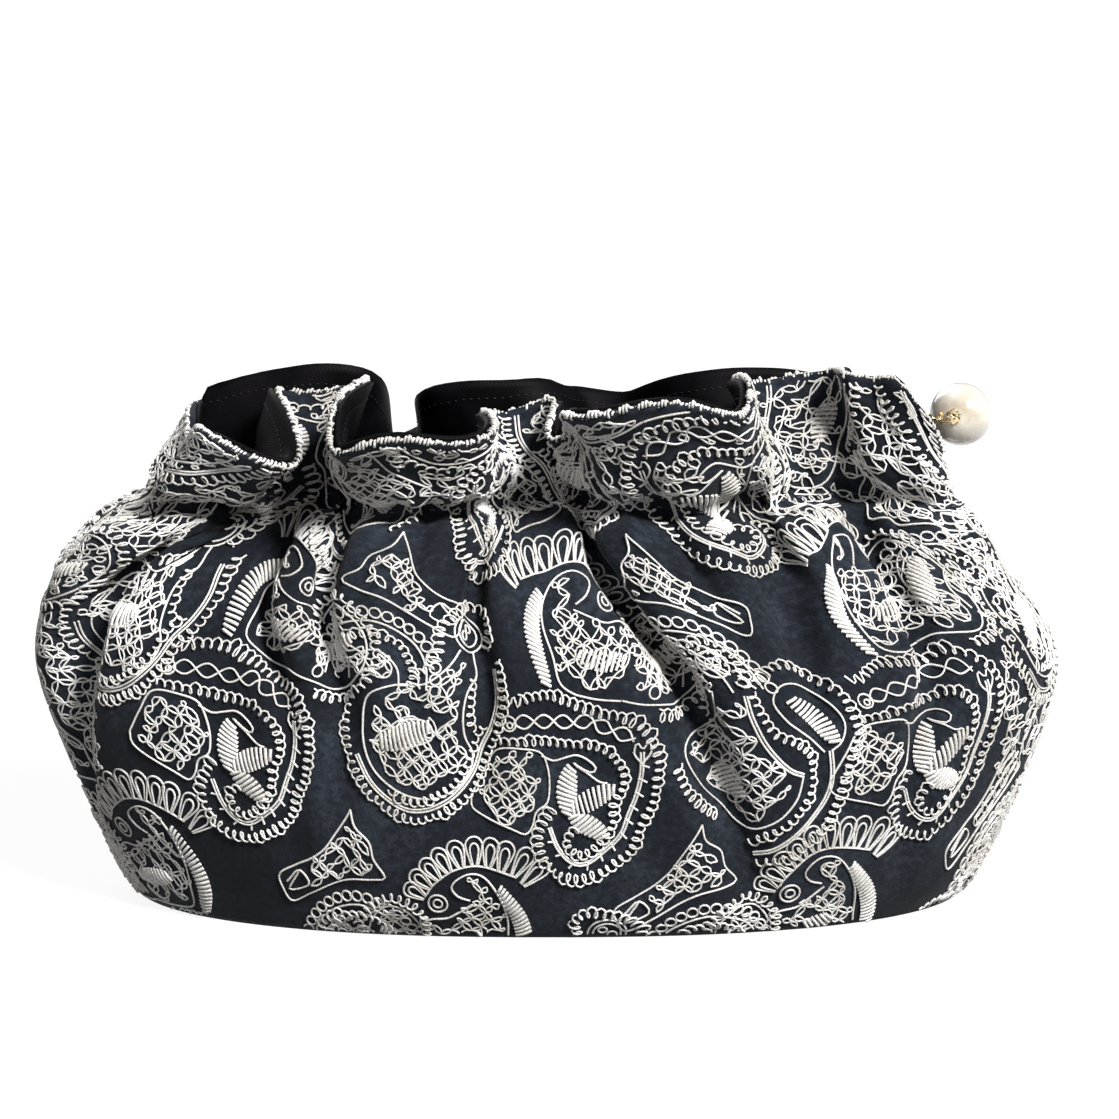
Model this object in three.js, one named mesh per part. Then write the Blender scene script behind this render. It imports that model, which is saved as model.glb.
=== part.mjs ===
// A gathered pouch of embroidered cotton. A softly filled body with boxed ends is drawn in along a shirred
// line, above which the same cloth stands up as a frill. It is lined in black, and a pearl charm hangs over
// the right end of the mouth. Millimetres, +Z up, front towards -Y, origin on the ground under the base.
import * as THREE from "three";

// Driving dimensions
const clothWall = 1.2;
const liningWall = 1.0;
const sewnGap = 0.4;
const seamGap = 0.3;
const frillHeight = 25;
const lowestRise = 9;
const pearlDiameter = 13.5;
const charmWire = 0.5;
const linkLength = 3.9;
const linkWidth = 2.5;

// Sections of the body from the base edge to the shirred line. z is the height at the middle of a panel.
// left, right and deep are reaches from the pouch's middle, square is the exponent of the plan curve (2 is
// an ellipse), endDrop is how far the side seams sit below the middle, and even says how the cloth is shared
// out: 1 evenly, as the gathers do, and 0 with only the boxed ends taking up what is spare.
const sections = [
  { name: "base edge", z: 0, left: 90, right: 90.5, deep: 39, square: 2.3, endDrop: 0, even: 0 },
  { name: "low side", z: 9, left: 95, right: 96, deep: 43, square: 2.3, endDrop: 0, even: 0 },
  { name: "belly", z: 28, left: 103.2, right: 104.2, deep: 45, square: 2.3, endDrop: 0, even: 0 },
  { name: "widest", z: 52, left: 109.5, right: 109.5, deep: 43, square: 2.3, endDrop: 0, even: 0 },
  { name: "shoulder", z: 70, left: 106.2, right: 98.8, deep: 34, square: 2.2, endDrop: 1, even: 0.4 },
  { name: "yoke", z: 81.5, left: 97.5, right: 93.5, deep: 24, square: 2.1, endDrop: 2, even: 0.85 },
  { name: "shirred line", z: 88.5, left: 91, right: 89, deep: 17.5, square: 2, endDrop: 4, even: 1 },
];
const shirred = sections.length - 1;
const widest = sections.find((s) => s.name === "widest");

// The mean rim of the frill, which its folds leave on both sides, and how far it dips at each side seam.
const rim = { left: 76.5, right: 84.5, deep: 24, square: 2, even: 1 };
const seamDip = { left: 7, right: 13, power: 16 };

// How the frill leaves the shirred line: below 1 it leans over at once, above 1 it stands up first.
const frillFlare = { middle: 1.1, seam: 0.4 };

// Turns of the frill's rim, one row each, from left to right as seen from outside the panel. at is the place
// along the mouth, out how far the rim stands out from the mouth's middle line there, half is half the width
// of the turn's head (a head wider than its neck makes a tongue), drop is how far the frill sags there, and
// tilt how much lower the right end of the head lies than its middle.
const rimTurns = {
  front: [
    { turn: "left bulge", at: -61, out: 25, half: 9, drop: 1.8, tilt: 2 },
    { turn: "left tongue", at: -48.4, out: -6, half: 8, drop: 0.8, tilt: -1 },
    { turn: "middle bulge", at: -28, out: 36, half: 16, drop: 2.2, tilt: 0 },
    { turn: "middle tongue", at: -6, out: 2, half: 6, drop: 6, tilt: -1 },
    { turn: "middle notch", at: 1.5, out: 16, half: 1.5, drop: 10, tilt: 0 },
    { turn: "wide bulge", at: 22.5, out: 35, half: 17.5, drop: -5, tilt: 0.5 },
    { turn: "right recess", at: 51, out: -6, half: 9, drop: -3, tilt: 0 },
    { turn: "right pleat", at: 66, out: 4, half: 3, drop: -5, tilt: 0 },
    { turn: "right end", at: 77, out: 7, half: 4, drop: -4.2, tilt: 2.5 },
  ],
  back: [
    { turn: "right end", at: -76, out: 6, half: 4, drop: 7, tilt: -2 },
    { turn: "right stand", at: -45, out: 19, half: 14, drop: 3.5, tilt: 0 },
    { turn: "middle dip", at: -12, out: 28, half: 5, drop: 9, tilt: 0 },
    { turn: "middle stand", at: 14, out: 18, half: 11, drop: 5.5, tilt: 0 },
    { turn: "flop", at: 31.5, out: 40, half: 4, drop: 19, tilt: 0 },
    { turn: "left stand", at: 52, out: 17, half: 12, drop: 0.5, tilt: 1 },
    { turn: "left end", at: 73, out: 17, half: 3, drop: 4, tilt: 1 },
  ],
};
const foldShareAtShirring = 0.42;
const foldFadeBelow = 22;

// Long folds of the body, one row each. top and foot are places on the flat cloth where the fold leaves the
// shirred line and where it dies out, footZ the height of that end, depth and width its size.
const bodyFolds = {
  front: [
    { fold: "left crease", top: -98, foot: -112, footZ: 14, depth: 8.5, width: 8.5 },
    { fold: "left pleat", top: -62, foot: -54, footZ: 48, depth: 6.5, width: 6.5 },
    { fold: "second pleat", top: -40, foot: -44, footZ: 36, depth: 7, width: 6.5 },
    { fold: "middle pleat", top: -8, foot: -14, footZ: 40, depth: 7, width: 6.5 },
    { fold: "deep fold", top: 17, foot: 44, footZ: 8, depth: 10, width: 8.5 },
    { fold: "right pleat", top: 66, foot: 56, footZ: 50, depth: 6, width: 6.5 },
    { fold: "right fold", top: 98, foot: 78, footZ: 36, depth: 8, width: 7.5 },
  ],
  back: [
    { fold: "right crease", top: -96, foot: -110, footZ: 18, depth: 7.5, width: 8.5 },
    { fold: "right pleat", top: -58, foot: -64, footZ: 42, depth: 6.5, width: 7.5 },
    { fold: "deep fold", top: -22, foot: -36, footZ: 14, depth: 9, width: 8.5 },
    { fold: "middle pleat", top: 12, foot: 16, footZ: 44, depth: 6.5, width: 6.5 },
    { fold: "left pleat", top: 50, foot: 58, footZ: 36, depth: 7, width: 7.5 },
    { fold: "left crease", top: 92, foot: 106, footZ: 20, depth: 7.5, width: 8.5 },
  ],
};

// Small pleats that the gathering thread draws up along the shirred line of each panel.
const pleats = { count: 12, depth: 1.5, fadeBelow: 10 };

const columns = 48;
const panelRows = [0, 1.2, 2.2, 3, 3.6, 4.2, 4.7, 5.2, 5.6, 6, 6.35, 6.7, 7];
const liningRows = [1.2, 2.2, 3, 3.6, 4.2, 4.7, 5.2, 5.6, 6, 6.35, 6.7, 6.97];

// Interpolation
const mix = (a, b, t) => a + (b - a) * t;
const clamp01 = (t) => Math.min(1, Math.max(0, t));
const smooth = (t) => clamp01(t) ** 2 * (3 - 2 * clamp01(t));

function smoothColumn(rows, column, k) {
  const i = Math.min(rows.length - 2, Math.floor(k));
  const t = k - i;
  const at = (j) => rows[Math.min(rows.length - 1, Math.max(0, j))][column];
  const [before, start, end, after] = [at(i - 1), at(i), at(i + 1), at(i + 2)];
  const out = (end - before) / 2;
  const into = (after - start) / 2;
  const t2 = t * t;
  const t3 = t2 * t;
  return (2 * t3 - 3 * t2 + 1) * start + (t3 - 2 * t2 + t) * out + (3 * t2 - 2 * t3) * end + (t3 - t2) * into;
}

function sectionAt(k) {
  const columnsOfSection = ["z", "left", "right", "deep", "square", "endDrop", "even"];
  return Object.fromEntries(columnsOfSection.map((c) => [c, smoothColumn(sections, c, k)]));
}

// One panel's half of a plan curve as points at equal angles, with the length run up to each.
const planSteps = 96;

function planCurve(section, side) {
  const [left, right] = side === "front" ? [section.left, section.right] : [section.right, section.left];
  const power = 2 / section.square;
  const points = [];
  const run = [0];
  for (let i = 0; i <= planSteps; i++) {
    const angle = (Math.PI * i) / planSteps;
    const across = -Math.cos(angle);
    const reach = across < 0 ? left : right;
    const x = Math.sign(across) * reach * Math.abs(across) ** power;
    points.push(new THREE.Vector2(x, -section.deep * Math.abs(Math.sin(angle)) ** power));
    if (i > 0) run.push(run[i - 1] + points[i].distanceTo(points[i - 1]));
  }
  return { points, run, half: run[planSteps] / 2 };
}

const panelHalf = planCurve(widest, "front").half;
const boxedPower = 3.6;

// The plan point, and the direction along it, of a place on the flat cloth at one section.
function planPoint(section, side, cloth) {
  const curve = planCurve(section, side);
  const share = cloth / panelHalf;
  const spare = Math.max(1, panelHalf / curve.half);
  const boxed = spare * share - (spare - 1) * Math.sign(share) * Math.abs(share) ** boxedPower;
  const along = curve.half * (1 + mix(boxed, share, section.even));
  let i = 1;
  while (i < planSteps && curve.run[i] < along) i++;
  const t = (along - curve.run[i - 1]) / (curve.run[i] - curve.run[i - 1]);
  const place = curve.points[i - 1].clone().lerp(curve.points[i], t);
  const before = curve.points[Math.max(0, i - 2)];
  const after = curve.points[Math.min(planSteps, i + 1)];
  return { place, tangent: after.clone().sub(before).normalize() };
}

// The rim of a panel as seen from above, and how far a place on it lies from the mean rim.
const rimCurves = Object.fromEntries(
  Object.entries(rimTurns).map(([side, turns]) => {
    const [left, right] = side === "front" ? [rim.left, rim.right] : [rim.right, rim.left];
    const points = [new THREE.Vector3(-left, 0, 0)];
    for (const t of turns) {
      points.push(new THREE.Vector3(t.at - t.half, -t.out, t.tilt - t.drop));
      points.push(new THREE.Vector3(t.at + t.half, -t.out, -t.tilt - t.drop));
    }
    points.push(new THREE.Vector3(right, 0, 0));
    const curve = new THREE.CatmullRomCurve3(points, false, "centripetal");
    curve.arcLengthDivisions = 800;
    return [side, curve];
  }),
);

function rimPlace(side, cloth) {
  const p = rimCurves[side].getPointAt(clamp01((cloth / panelHalf + 1) / 2));
  return { place: new THREE.Vector2(p.x, p.y), drop: -p.z };
}

function rimFold(side, cloth) {
  return rimPlace(side, cloth).place.sub(planPoint(rim, side, cloth).place);
}

function bodyFoldDepth(side, cloth, z) {
  let depth = 0;
  for (const f of bodyFolds[side]) {
    const up = clamp01((z - f.footZ) / (sections[shirred].z - f.footZ));
    const gain = smooth(up / 0.6) * (1 - 0.45 * smooth((up - 0.75) / 0.25));
    const q = (cloth - mix(f.foot, f.top, up)) / f.width;
    depth += f.depth * gain * (Math.exp(-q * q) - 0.35 * Math.exp(-q * q / 5));
  }
  return depth;
}

function pleatWave(cloth) {
  return pleats.depth * Math.cos((Math.PI * pleats.count * cloth) / panelHalf);
}

// The outer face of a panel. k runs through the sections and then, from the shirred line up, over the frill.
function bodyPoint(side, cloth, k) {
  const section = sectionAt(k);
  const { place, tangent } = planPoint(section, side, cloth);
  const z = section.z - section.endDrop * Math.abs(cloth / panelHalf) ** 4;
  const below = sections[shirred].z - section.z;
  const drawn = pleatWave(cloth) * Math.exp(-((below / pleats.fadeBelow) ** 2));
  const inward = (bodyFoldDepth(side, cloth, section.z) + drawn) * seamEase(cloth);
  place.addScaledVector(new THREE.Vector2(tangent.y, -tangent.x), -inward);
  const share = foldShareAtShirring * Math.exp(-((below / foldFadeBelow) ** 2));
  place.addScaledVector(rimFold(side, cloth), share);
  return new THREE.Vector3(place.x, place.y, z);
}

// Folds die away at the side seams, where the panels are sewn together.
function seamEase(cloth) {
  return smooth((panelHalf - Math.abs(cloth)) / 16);
}

// The frill keeps its cloth height, so where it leans far in or out its rim sits lower.
function frillPoint(side, cloth, t) {
  const foot = bodyPoint(side, cloth, shirred);
  const { place, drop } = rimPlace(side, cloth);
  const lean = place.sub(new THREE.Vector2(foot.x, foot.y));
  const rise = Math.max(lowestRise, Math.sqrt(Math.max(0, frillHeight ** 2 - lean.lengthSq())));
  const dip = (side === "front") === cloth > 0 ? seamDip.right : seamDip.left;
  const trimmed = rise - drop - dip * Math.abs(cloth / panelHalf) ** seamDip.power;
  const flare = t ** mix(frillFlare.middle, frillFlare.seam, Math.abs(cloth / panelHalf) ** 6);
  return new THREE.Vector3(foot.x + lean.x * flare, foot.y + lean.y * flare, foot.z + trimmed * t ** 0.92);
}

function panelPoint(side, cloth, k) {
  const held = Math.min(panelHalf, Math.max(-panelHalf, cloth));
  const local = k <= shirred ? bodyPoint(side, held, k) : frillPoint(side, held, k - shirred);
  const turn = side === "front" ? 1 : -1;
  return new THREE.Vector3(turn * local.x, turn * local.y, local.z);
}

// A point set in from the outer face by a depth, square to the cloth, and along X at a side seam, so that the
// edges of the two panels stay clear of each other.
const seamTurn = 6;

function insetPoint(side, cloth, k, depth) {
  const step = 0.6;
  const rise = 0.04;
  const top = shirred + 1;
  const across = panelPoint(side, cloth + step, k).sub(panelPoint(side, cloth - step, k));
  const over = panelPoint(side, cloth, Math.min(top, k + rise));
  const under = panelPoint(side, cloth, Math.max(0, k - rise));
  const outward = across.cross(over.sub(under));
  outward.y *= smooth((panelHalf - Math.abs(cloth)) / seamTurn);
  return panelPoint(side, cloth, k).addScaledVector(outward.normalize(), -depth);
}

// Closed shells from grids of points
class Shell {
  corners = [];

  triangle(a, b, c) {
    this.corners.push(...a.toArray(), ...b.toArray(), ...c.toArray());
  }

  strip(low, high, outward = true) {
    for (let i = 0; i + 1 < low.length; i++) {
      const [a, b, c, d] = [low[i], low[i + 1], high[i + 1], high[i]];
      if (outward) {
        this.triangle(a, b, c);
        this.triangle(a, c, d);
      } else {
        this.triangle(a, c, b);
        this.triangle(a, d, c);
      }
    }
  }

  grid(rows, outward) {
    for (let j = 0; j + 1 < rows.length; j++) this.strip(rows[j], rows[j + 1], outward);
  }

  fan(centre, ring, upward) {
    for (let i = 0; i + 1 < ring.length; i++) {
      if (upward) this.triangle(centre, ring[i], ring[i + 1]);
      else this.triangle(centre, ring[i + 1], ring[i]);
    }
  }

  geometry() {
    const made = new THREE.BufferGeometry();
    made.setAttribute("position", new THREE.Float32BufferAttribute(this.corners, 3));
    made.computeVertexNormals();
    return made;
  }
}

const clothSteps = Array.from({ length: columns + 1 }, (_, i) => mix(-panelHalf, panelHalf, i / columns));

function panelGeometry(side) {
  const ease = 1 - seamGap / 2 / panelHalf;
  const rowAt = (k, depth) => clothSteps.map((cloth) => insetPoint(side, cloth * ease, k, depth));
  const face = panelRows.map((k) => rowAt(k, 0));
  const backing = panelRows.map((k) => rowAt(k, clothWall));
  const shell = new Shell();
  shell.grid(face, true);
  shell.grid(backing, false);
  shell.strip(face.at(-1), backing.at(-1), true);
  shell.strip(face[0], backing[0], false);
  const column = (rows, i) => rows.map((r) => r.at(i));
  shell.strip(column(face, 0), column(backing, 0), true);
  shell.strip(column(face, -1), column(backing, -1), false);
  return shell.geometry();
}

// A whole ring round the pouch: the front panel's places, then the back's.
function ringAt(k, depth) {
  const half = (side) => clothSteps.slice(0, -1).map((cloth) => insetPoint(side, cloth, k, depth));
  const ring = [...half("front"), ...half("back")];
  return [...ring, ring[0]];
}

// The base edge's plan curve set in by a depth, level at one height.
function baseRing(depth, z) {
  return ringAt(0, 0).map((p) => {
    const share = 1 - depth / Math.hypot(p.x * 0.45, p.y);
    return new THREE.Vector3(p.x * share, p.y * share, z);
  });
}

function liningGeometry() {
  const outerDepth = clothWall + sewnGap;
  const innerDepth = outerDepth + liningWall;
  const floorZ = clothWall + sewnGap;
  const outer = [baseRing(outerDepth + 1.5, floorZ), ...liningRows.map((k) => ringAt(k, outerDepth))];
  const innerFloor = baseRing(innerDepth + 2, floorZ + liningWall);
  const inner = [innerFloor, ...liningRows.map((k) => ringAt(k, innerDepth))];
  const shell = new Shell();
  shell.grid(outer, true);
  shell.grid(inner, false);
  shell.strip(outer.at(-1), inner.at(-1), true);
  shell.fan(new THREE.Vector3(0, 0, floorZ), outer[0], false);
  shell.fan(new THREE.Vector3(0, 0, floorZ + liningWall), inner[0], true);
  return shell.geometry();
}

function baseGeometry() {
  const inset = clothWall + sewnGap;
  const low = baseRing(inset, 0);
  const high = baseRing(inset, clothWall);
  const shell = new Shell();
  shell.strip(low, high, true);
  shell.fan(new THREE.Vector3(0, 0, 0), low, false);
  shell.fan(new THREE.Vector3(0, 0, clothWall), high, true);
  return shell.geometry();
}

// The charm: a wire post inside the mouth, two oval jump rings, an eye pin, a petalled cap and a half-drilled
// pearl
const pearlRadius = pearlDiameter / 2;
const wireRadius = charmWire / 2;
const linkReach = (linkLength - charmWire) / 2;
const linkEndRadius = (linkWidth - charmWire) / 2;
const loopRadius = 0.95;
const pearlHole = 0.6;
const drillDepth = 6;
const capHeight = 0.9;
const capSpread = 1.7;
const capWall = 0.35;
const capSeat = 0.3;
const capPetals = 6;
const eyeClear = 0.4;
const linkSeat = 0.1;
const linkGap = 0.3;
const pearlCentre = new THREE.Vector3(88.5, 4, 103.3);
const pinAxis = new THREE.Vector3(0.31, 0.945, -0.129).normalize();
const chainAxis = new THREE.Vector3(0.755, -0.617, 0.216).normalize();
const eyeToPearl = pearlRadius + capHeight + loopRadius + eyeClear;
const pinEye = pearlCentre.clone().addScaledVector(pinAxis, -eyeToPearl);
const hang = linkReach - linkSeat;
const linkPitch = 2 * (linkReach - wireRadius) - linkGap;
const outerRingCentre = pinEye.clone().addScaledVector(chainAxis, -hang);
const innerRingCentre = outerRingCentre.clone().addScaledVector(chainAxis, -linkPitch);
const postEye = innerRingCentre.clone().addScaledVector(chainAxis, -hang);
const postLength = 16;
const pinStem = 5;
const postAxis = new THREE.Vector3(-0.3, 0.15, -0.94).normalize();

// A turn that takes local +Z along an axis, with local +X as near as it can be to a hint.
function frameAlong(axis, hint) {
  const z = axis.clone().normalize();
  const y = z.clone().cross(hint).normalize();
  const x = y.clone().cross(z);
  return new THREE.Quaternion().setFromRotationMatrix(new THREE.Matrix4().makeBasis(x, y, z));
}

// A wire bent into an eye round the local origin, in the local XZ plane, that runs on as a stem along +Z.
function eyeWireGeometry(stemLength) {
  const path = [];
  const openFrom = 125;
  const closeAt = 412;
  const turns = 10;
  for (let i = 0; i <= turns; i++) {
    const angle = THREE.MathUtils.degToRad(mix(openFrom, closeAt, i / turns));
    path.push(new THREE.Vector3(loopRadius * Math.cos(angle), 0, loopRadius * Math.sin(angle)));
  }
  const neck = loopRadius + 0.7;
  path.push(new THREE.Vector3(0.12, 0, neck), new THREE.Vector3(0, 0, neck + 0.9));
  path.push(new THREE.Vector3(0, 0, loopRadius + stemLength));
  const curve = new THREE.CatmullRomCurve3(path, false, "centripetal");
  const bend = { steps: 18, extrudePath: curve, curveSegments: 1 };
  return new THREE.ExtrudeGeometry(roundSection(wireRadius, 6), bend);
}

// A ring drawn out along local X into an oval with straight sides.
function linkGeometry() {
  const segments = 12;
  const made = new THREE.TorusGeometry(linkEndRadius, wireRadius, 6, segments).rotateZ(Math.PI / segments);
  const place = made.getAttribute("position");
  for (let i = 0; i < place.count; i++) {
    const x = place.getX(i);
    place.setX(i, x + Math.sign(x) * (linkReach - linkEndRadius));
  }
  return made;
}

function roundSection(radius, sides) {
  const corners = [];
  for (let i = 0; i < sides; i++) {
    const angle = (2 * Math.PI * i) / sides;
    corners.push(new THREE.Vector2(radius * Math.cos(angle), radius * Math.sin(angle)));
  }
  return new THREE.Shape(corners);
}

// A lathe turned so that its axis is local +Z.
function turned(profile, sides) {
  return new THREE.LatheGeometry(profile, sides).rotateX(Math.PI / 2);
}

function pearlGeometry() {
  const rings = 9;
  const holeAngle = Math.asin(pearlHole / pearlRadius);
  const profile = [];
  for (let i = 0; i <= rings; i++) {
    const angle = mix(0, Math.PI - holeAngle, i / rings);
    profile.push(new THREE.Vector2(pearlRadius * Math.sin(angle), -pearlRadius * Math.cos(angle)));
  }
  profile[0].x = 0;
  const floor = pearlRadius - drillDepth;
  profile.push(new THREE.Vector2(pearlHole, floor), new THREE.Vector2(0, floor));
  return turned(profile, 16);
}

// A shallow dome whose edge is cut into petals, open where the pin passes. Local +Z points at the pearl.
function capGeometry() {
  const seat = pearlRadius + capSeat;
  const steps = 3;
  const sides = capPetals * 3;
  const rounds = (radius) =>
    Array.from({ length: steps + 1 }, (_, i) => {
      const r = mix(pearlHole, capSpread, i / steps);
      return new THREE.Vector2(r, seat - Math.sqrt(radius ** 2 - r ** 2));
    });
  const inside = rounds(seat);
  const outside = rounds(seat + capWall);
  const profile = [...outside, ...inside.reverse(), outside[0].clone()];
  const made = turned(profile, sides);
  const place = made.getAttribute("position");
  for (let i = 0; i < place.count; i++) {
    const [x, y, z] = [place.getX(i), place.getY(i), place.getZ(i)];
    const r = Math.hypot(x, y);
    const edge = smooth((r - pearlHole) / (capSpread - pearlHole));
    const petal = 1 - 0.16 * edge * (1 - Math.cos(capPetals * Math.atan2(y, x))) / 2;
    place.setXYZ(i, x * petal, y * petal, z);
  }
  return made;
}

// Materials
const embroideredCloth = new THREE.MeshStandardMaterial({ color: 0x2b3038, roughness: 0.85, metalness: 0 });
const blackLining = new THREE.MeshStandardMaterial({ color: 0x0b0a0c, roughness: 0.8, metalness: 0 });
const paleGold = new THREE.MeshStandardMaterial({ color: 0xc9a35a, roughness: 0.28, metalness: 1 });
const pearlLustre = new THREE.MeshStandardMaterial({ color: 0xe9e2d3, roughness: 0.22, metalness: 0.05 });

// Assembly
const pouch = new THREE.Group();

function place(name, geometry, material, position, turn) {
  const mesh = new THREE.Mesh(geometry, material);
  mesh.name = name;
  if (position) mesh.position.copy(position);
  if (turn) mesh.quaternion.copy(turn);
  pouch.add(mesh);
}

const up = new THREE.Vector3(0, 0, 1);
const ringSide = chainAxis.clone().cross(up).normalize();
const ringUp = ringSide.clone().cross(chainAxis).normalize();

place("front_panel", panelGeometry("front"), embroideredCloth);
place("back_panel", panelGeometry("back"), embroideredCloth);
place("base_panel", baseGeometry(), embroideredCloth);
place("lining", liningGeometry(), blackLining);
place("charm_post", eyeWireGeometry(postLength), paleGold, postEye, frameAlong(postAxis, chainAxis));
place("jump_ring_inner", linkGeometry(), paleGold, innerRingCentre, frameAlong(ringUp, chainAxis));
place("jump_ring_outer", linkGeometry(), paleGold, outerRingCentre, frameAlong(ringSide, chainAxis));
place("eye_pin", eyeWireGeometry(pinStem), paleGold, pinEye, frameAlong(pinAxis, chainAxis));
const capPlace = pearlCentre.clone().addScaledVector(pinAxis, -(pearlRadius + capSeat));
place("bead_cap", capGeometry(), paleGold, capPlace, frameAlong(pinAxis, up));
place("pearl", pearlGeometry(), pearlLustre, pearlCentre, frameAlong(pinAxis.clone().negate(), up));

export default pouch;
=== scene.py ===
import math

import bmesh
import bpy
import numpy as np
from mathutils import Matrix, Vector


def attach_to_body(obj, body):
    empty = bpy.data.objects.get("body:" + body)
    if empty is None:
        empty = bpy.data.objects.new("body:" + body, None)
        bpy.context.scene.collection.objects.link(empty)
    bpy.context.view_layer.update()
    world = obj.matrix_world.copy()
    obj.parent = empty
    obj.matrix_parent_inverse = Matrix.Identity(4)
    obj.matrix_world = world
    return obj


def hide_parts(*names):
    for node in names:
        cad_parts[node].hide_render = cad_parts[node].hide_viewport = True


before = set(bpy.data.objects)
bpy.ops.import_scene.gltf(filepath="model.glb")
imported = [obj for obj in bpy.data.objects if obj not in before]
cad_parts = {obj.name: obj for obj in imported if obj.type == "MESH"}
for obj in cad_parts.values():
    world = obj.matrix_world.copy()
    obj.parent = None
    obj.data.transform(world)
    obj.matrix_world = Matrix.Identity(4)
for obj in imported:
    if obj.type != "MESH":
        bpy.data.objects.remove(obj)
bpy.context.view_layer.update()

mm = 0.001  # the cloth is worked out in millimetres, meshes are in metres

# Camera, floor and light come first
photoView = {
    "aim": (0.0025, 0.0, 0.0722),
    "distance": 0.903,
    "elevation": 14.0,
    "lens": 135.0,
    "sensor": 36.0,
}
studio = {
    "floorHalf": 6.0,
    "floorColour": (0.12, 0.12, 0.12),
    "floorGrain": 0.985,
    "floorGlow": 0.9,
    "sky": (1.0, 1.0, 1.0),
    "skyStrength": 0.1,
    # name, kind, place, size (metres, or degrees for a sun), strength
    "lights": [
        ("keyLight", "SUN", (0.66, -0.74, 1.0), 14.0, 5.7),
        ("frontLight", "AREA", (-0.55, -1.1, 0.35), 0.9, 2.2),
        ("backLight", "AREA", (-0.4, 1.1, 0.75), 1.0, 9.0),
        ("glintLight", "AREA", (0.55, -0.45, 0.75), 0.4, 0.8),
    ],
}


def addToScene(name, data):
    made = bpy.data.objects.new(name, data)
    bpy.context.scene.collection.objects.link(made)
    return made


def lookAt(thing, target):
    thing.rotation_euler = (Vector(target) - thing.location).to_track_quat("-Z", "Y").to_euler()


def setCamera():
    lens = bpy.data.cameras.new("photoCamera")
    lens.lens = photoView["lens"]
    lens.sensor_width = photoView["sensor"]
    lens.sensor_fit = "AUTO"
    camera = addToScene("photoCamera", lens)
    tilt = math.radians(photoView["elevation"])
    aim = Vector(photoView["aim"])
    away = Vector((0, -math.cos(tilt), math.sin(tilt)))
    camera.location = aim + away * photoView["distance"]
    lookAt(camera, aim)
    bpy.context.scene.camera = camera


def setLights():
    for name, kind, place, size, strength in studio["lights"]:
        lamp = bpy.data.lights.new(name, kind)
        if kind == "SUN":
            lamp.angle = math.radians(size)
        else:
            lamp.size = size
        lamp.energy = strength
        holder = addToScene(name, lamp)
        holder.location = place
        lookAt(holder, photoView["aim"])
    world = bpy.data.worlds.new("softSky")
    world.use_nodes = True
    sky = world.node_tree.nodes["Background"]
    sky.inputs["Color"].default_value = (*studio["sky"], 1)
    sky.inputs["Strength"].default_value = studio["skyStrength"]
    bpy.context.scene.world = world
    bpy.context.scene.view_settings.view_transform = "Standard"


# Shader expressions: a Value is a socket, and maths on it adds Math nodes
class Value:
    def __init__(self, finish, socket):
        self.finish = finish
        self.socket = socket

    def math(self, operation, first, second=None):
        sockets = {0: first} if second is None else {0: first, 1: second}
        return self.finish.node("ShaderNodeMath", {"operation": operation}, sockets)

    def __add__(self, other):
        return self.math("ADD", self, other)

    def __radd__(self, other):
        return self.math("ADD", other, self)

    def __sub__(self, other):
        return self.math("SUBTRACT", self, other)

    def __rsub__(self, other):
        return self.math("SUBTRACT", other, self)

    def __mul__(self, other):
        return self.math("MULTIPLY", self, other)

    def __rmul__(self, other):
        return self.math("MULTIPLY", other, self)

    def sine(self):
        return self.math("SINE", self)


class Finish:
    def __init__(self, name, **fixed):
        self.material = bpy.data.materials.new(name)
        self.material.use_nodes = True
        self.tree = self.material.node_tree
        self.surface = self.tree.nodes["Principled BSDF"]
        for label, value in fixed.items():
            self.surface.inputs[label.replace("_", " ")].default_value = value

    def node(self, kind, settings=None, sockets=None, output=0):
        made = self.tree.nodes.new(kind)
        for key, value in (settings or {}).items():
            if key == "stops":
                while len(made.color_ramp.elements) < len(value):
                    made.color_ramp.elements.new(0.5)
                for element, (at, colour) in zip(made.color_ramp.elements, value):
                    element.position = at
                    element.color = (*colour, 1)
            else:
                setattr(made, key, value)
        for key, value in (sockets or {}).items():
            self.feed(made.inputs[key], value)
        return Value(self, made.outputs[output])

    def feed(self, socket, value):
        if isinstance(value, Value):
            self.tree.links.new(value.socket, socket)
        else:
            socket.default_value = value

    def set(self, label, value):
        self.feed(self.surface.inputs[label], value)

    def coords(self):
        return self.node("ShaderNodeTexCoord", output="Object")

    def noise(self, vector, scale, detail=3.0):
        return self.node("ShaderNodeTexNoise", None, {"Vector": vector, "Scale": scale, "Detail": detail})

    def ramp(self, amount, *stops):
        return self.node("ShaderNodeValToRGB", {"stops": stops}, {"Fac": amount})

    def blend(self, amount, first, second):
        sockets = {"Factor": amount, 6: first, 7: second}  # 6 and 7 are its two colours
        return self.node("ShaderNodeMix", {"data_type": "RGBA"}, sockets, 2)

    def clothPlace(self):
        return self.node("ShaderNodeUVMap", {"uv_map": "clothMap"})

    def acrossAlong(self, place):
        return [self.node("ShaderNodeSeparateXYZ", None, {0: place}, axis) for axis in "XY"]

    def bump(self, height, strength, distance):
        sockets = {"Height": height, "Strength": strength, "Distance": distance}
        self.set("Normal", self.node("ShaderNodeBump", None, sockets))


# turns of the woven threads, in radians for a metre of cloth
weaves = {"twill": 9000.0, "weft": 5200.0, "lining": 8200.0}
threadBump = {"strength": 0.4, "distance": 0.0001}
strandScale = 2600.0


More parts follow.
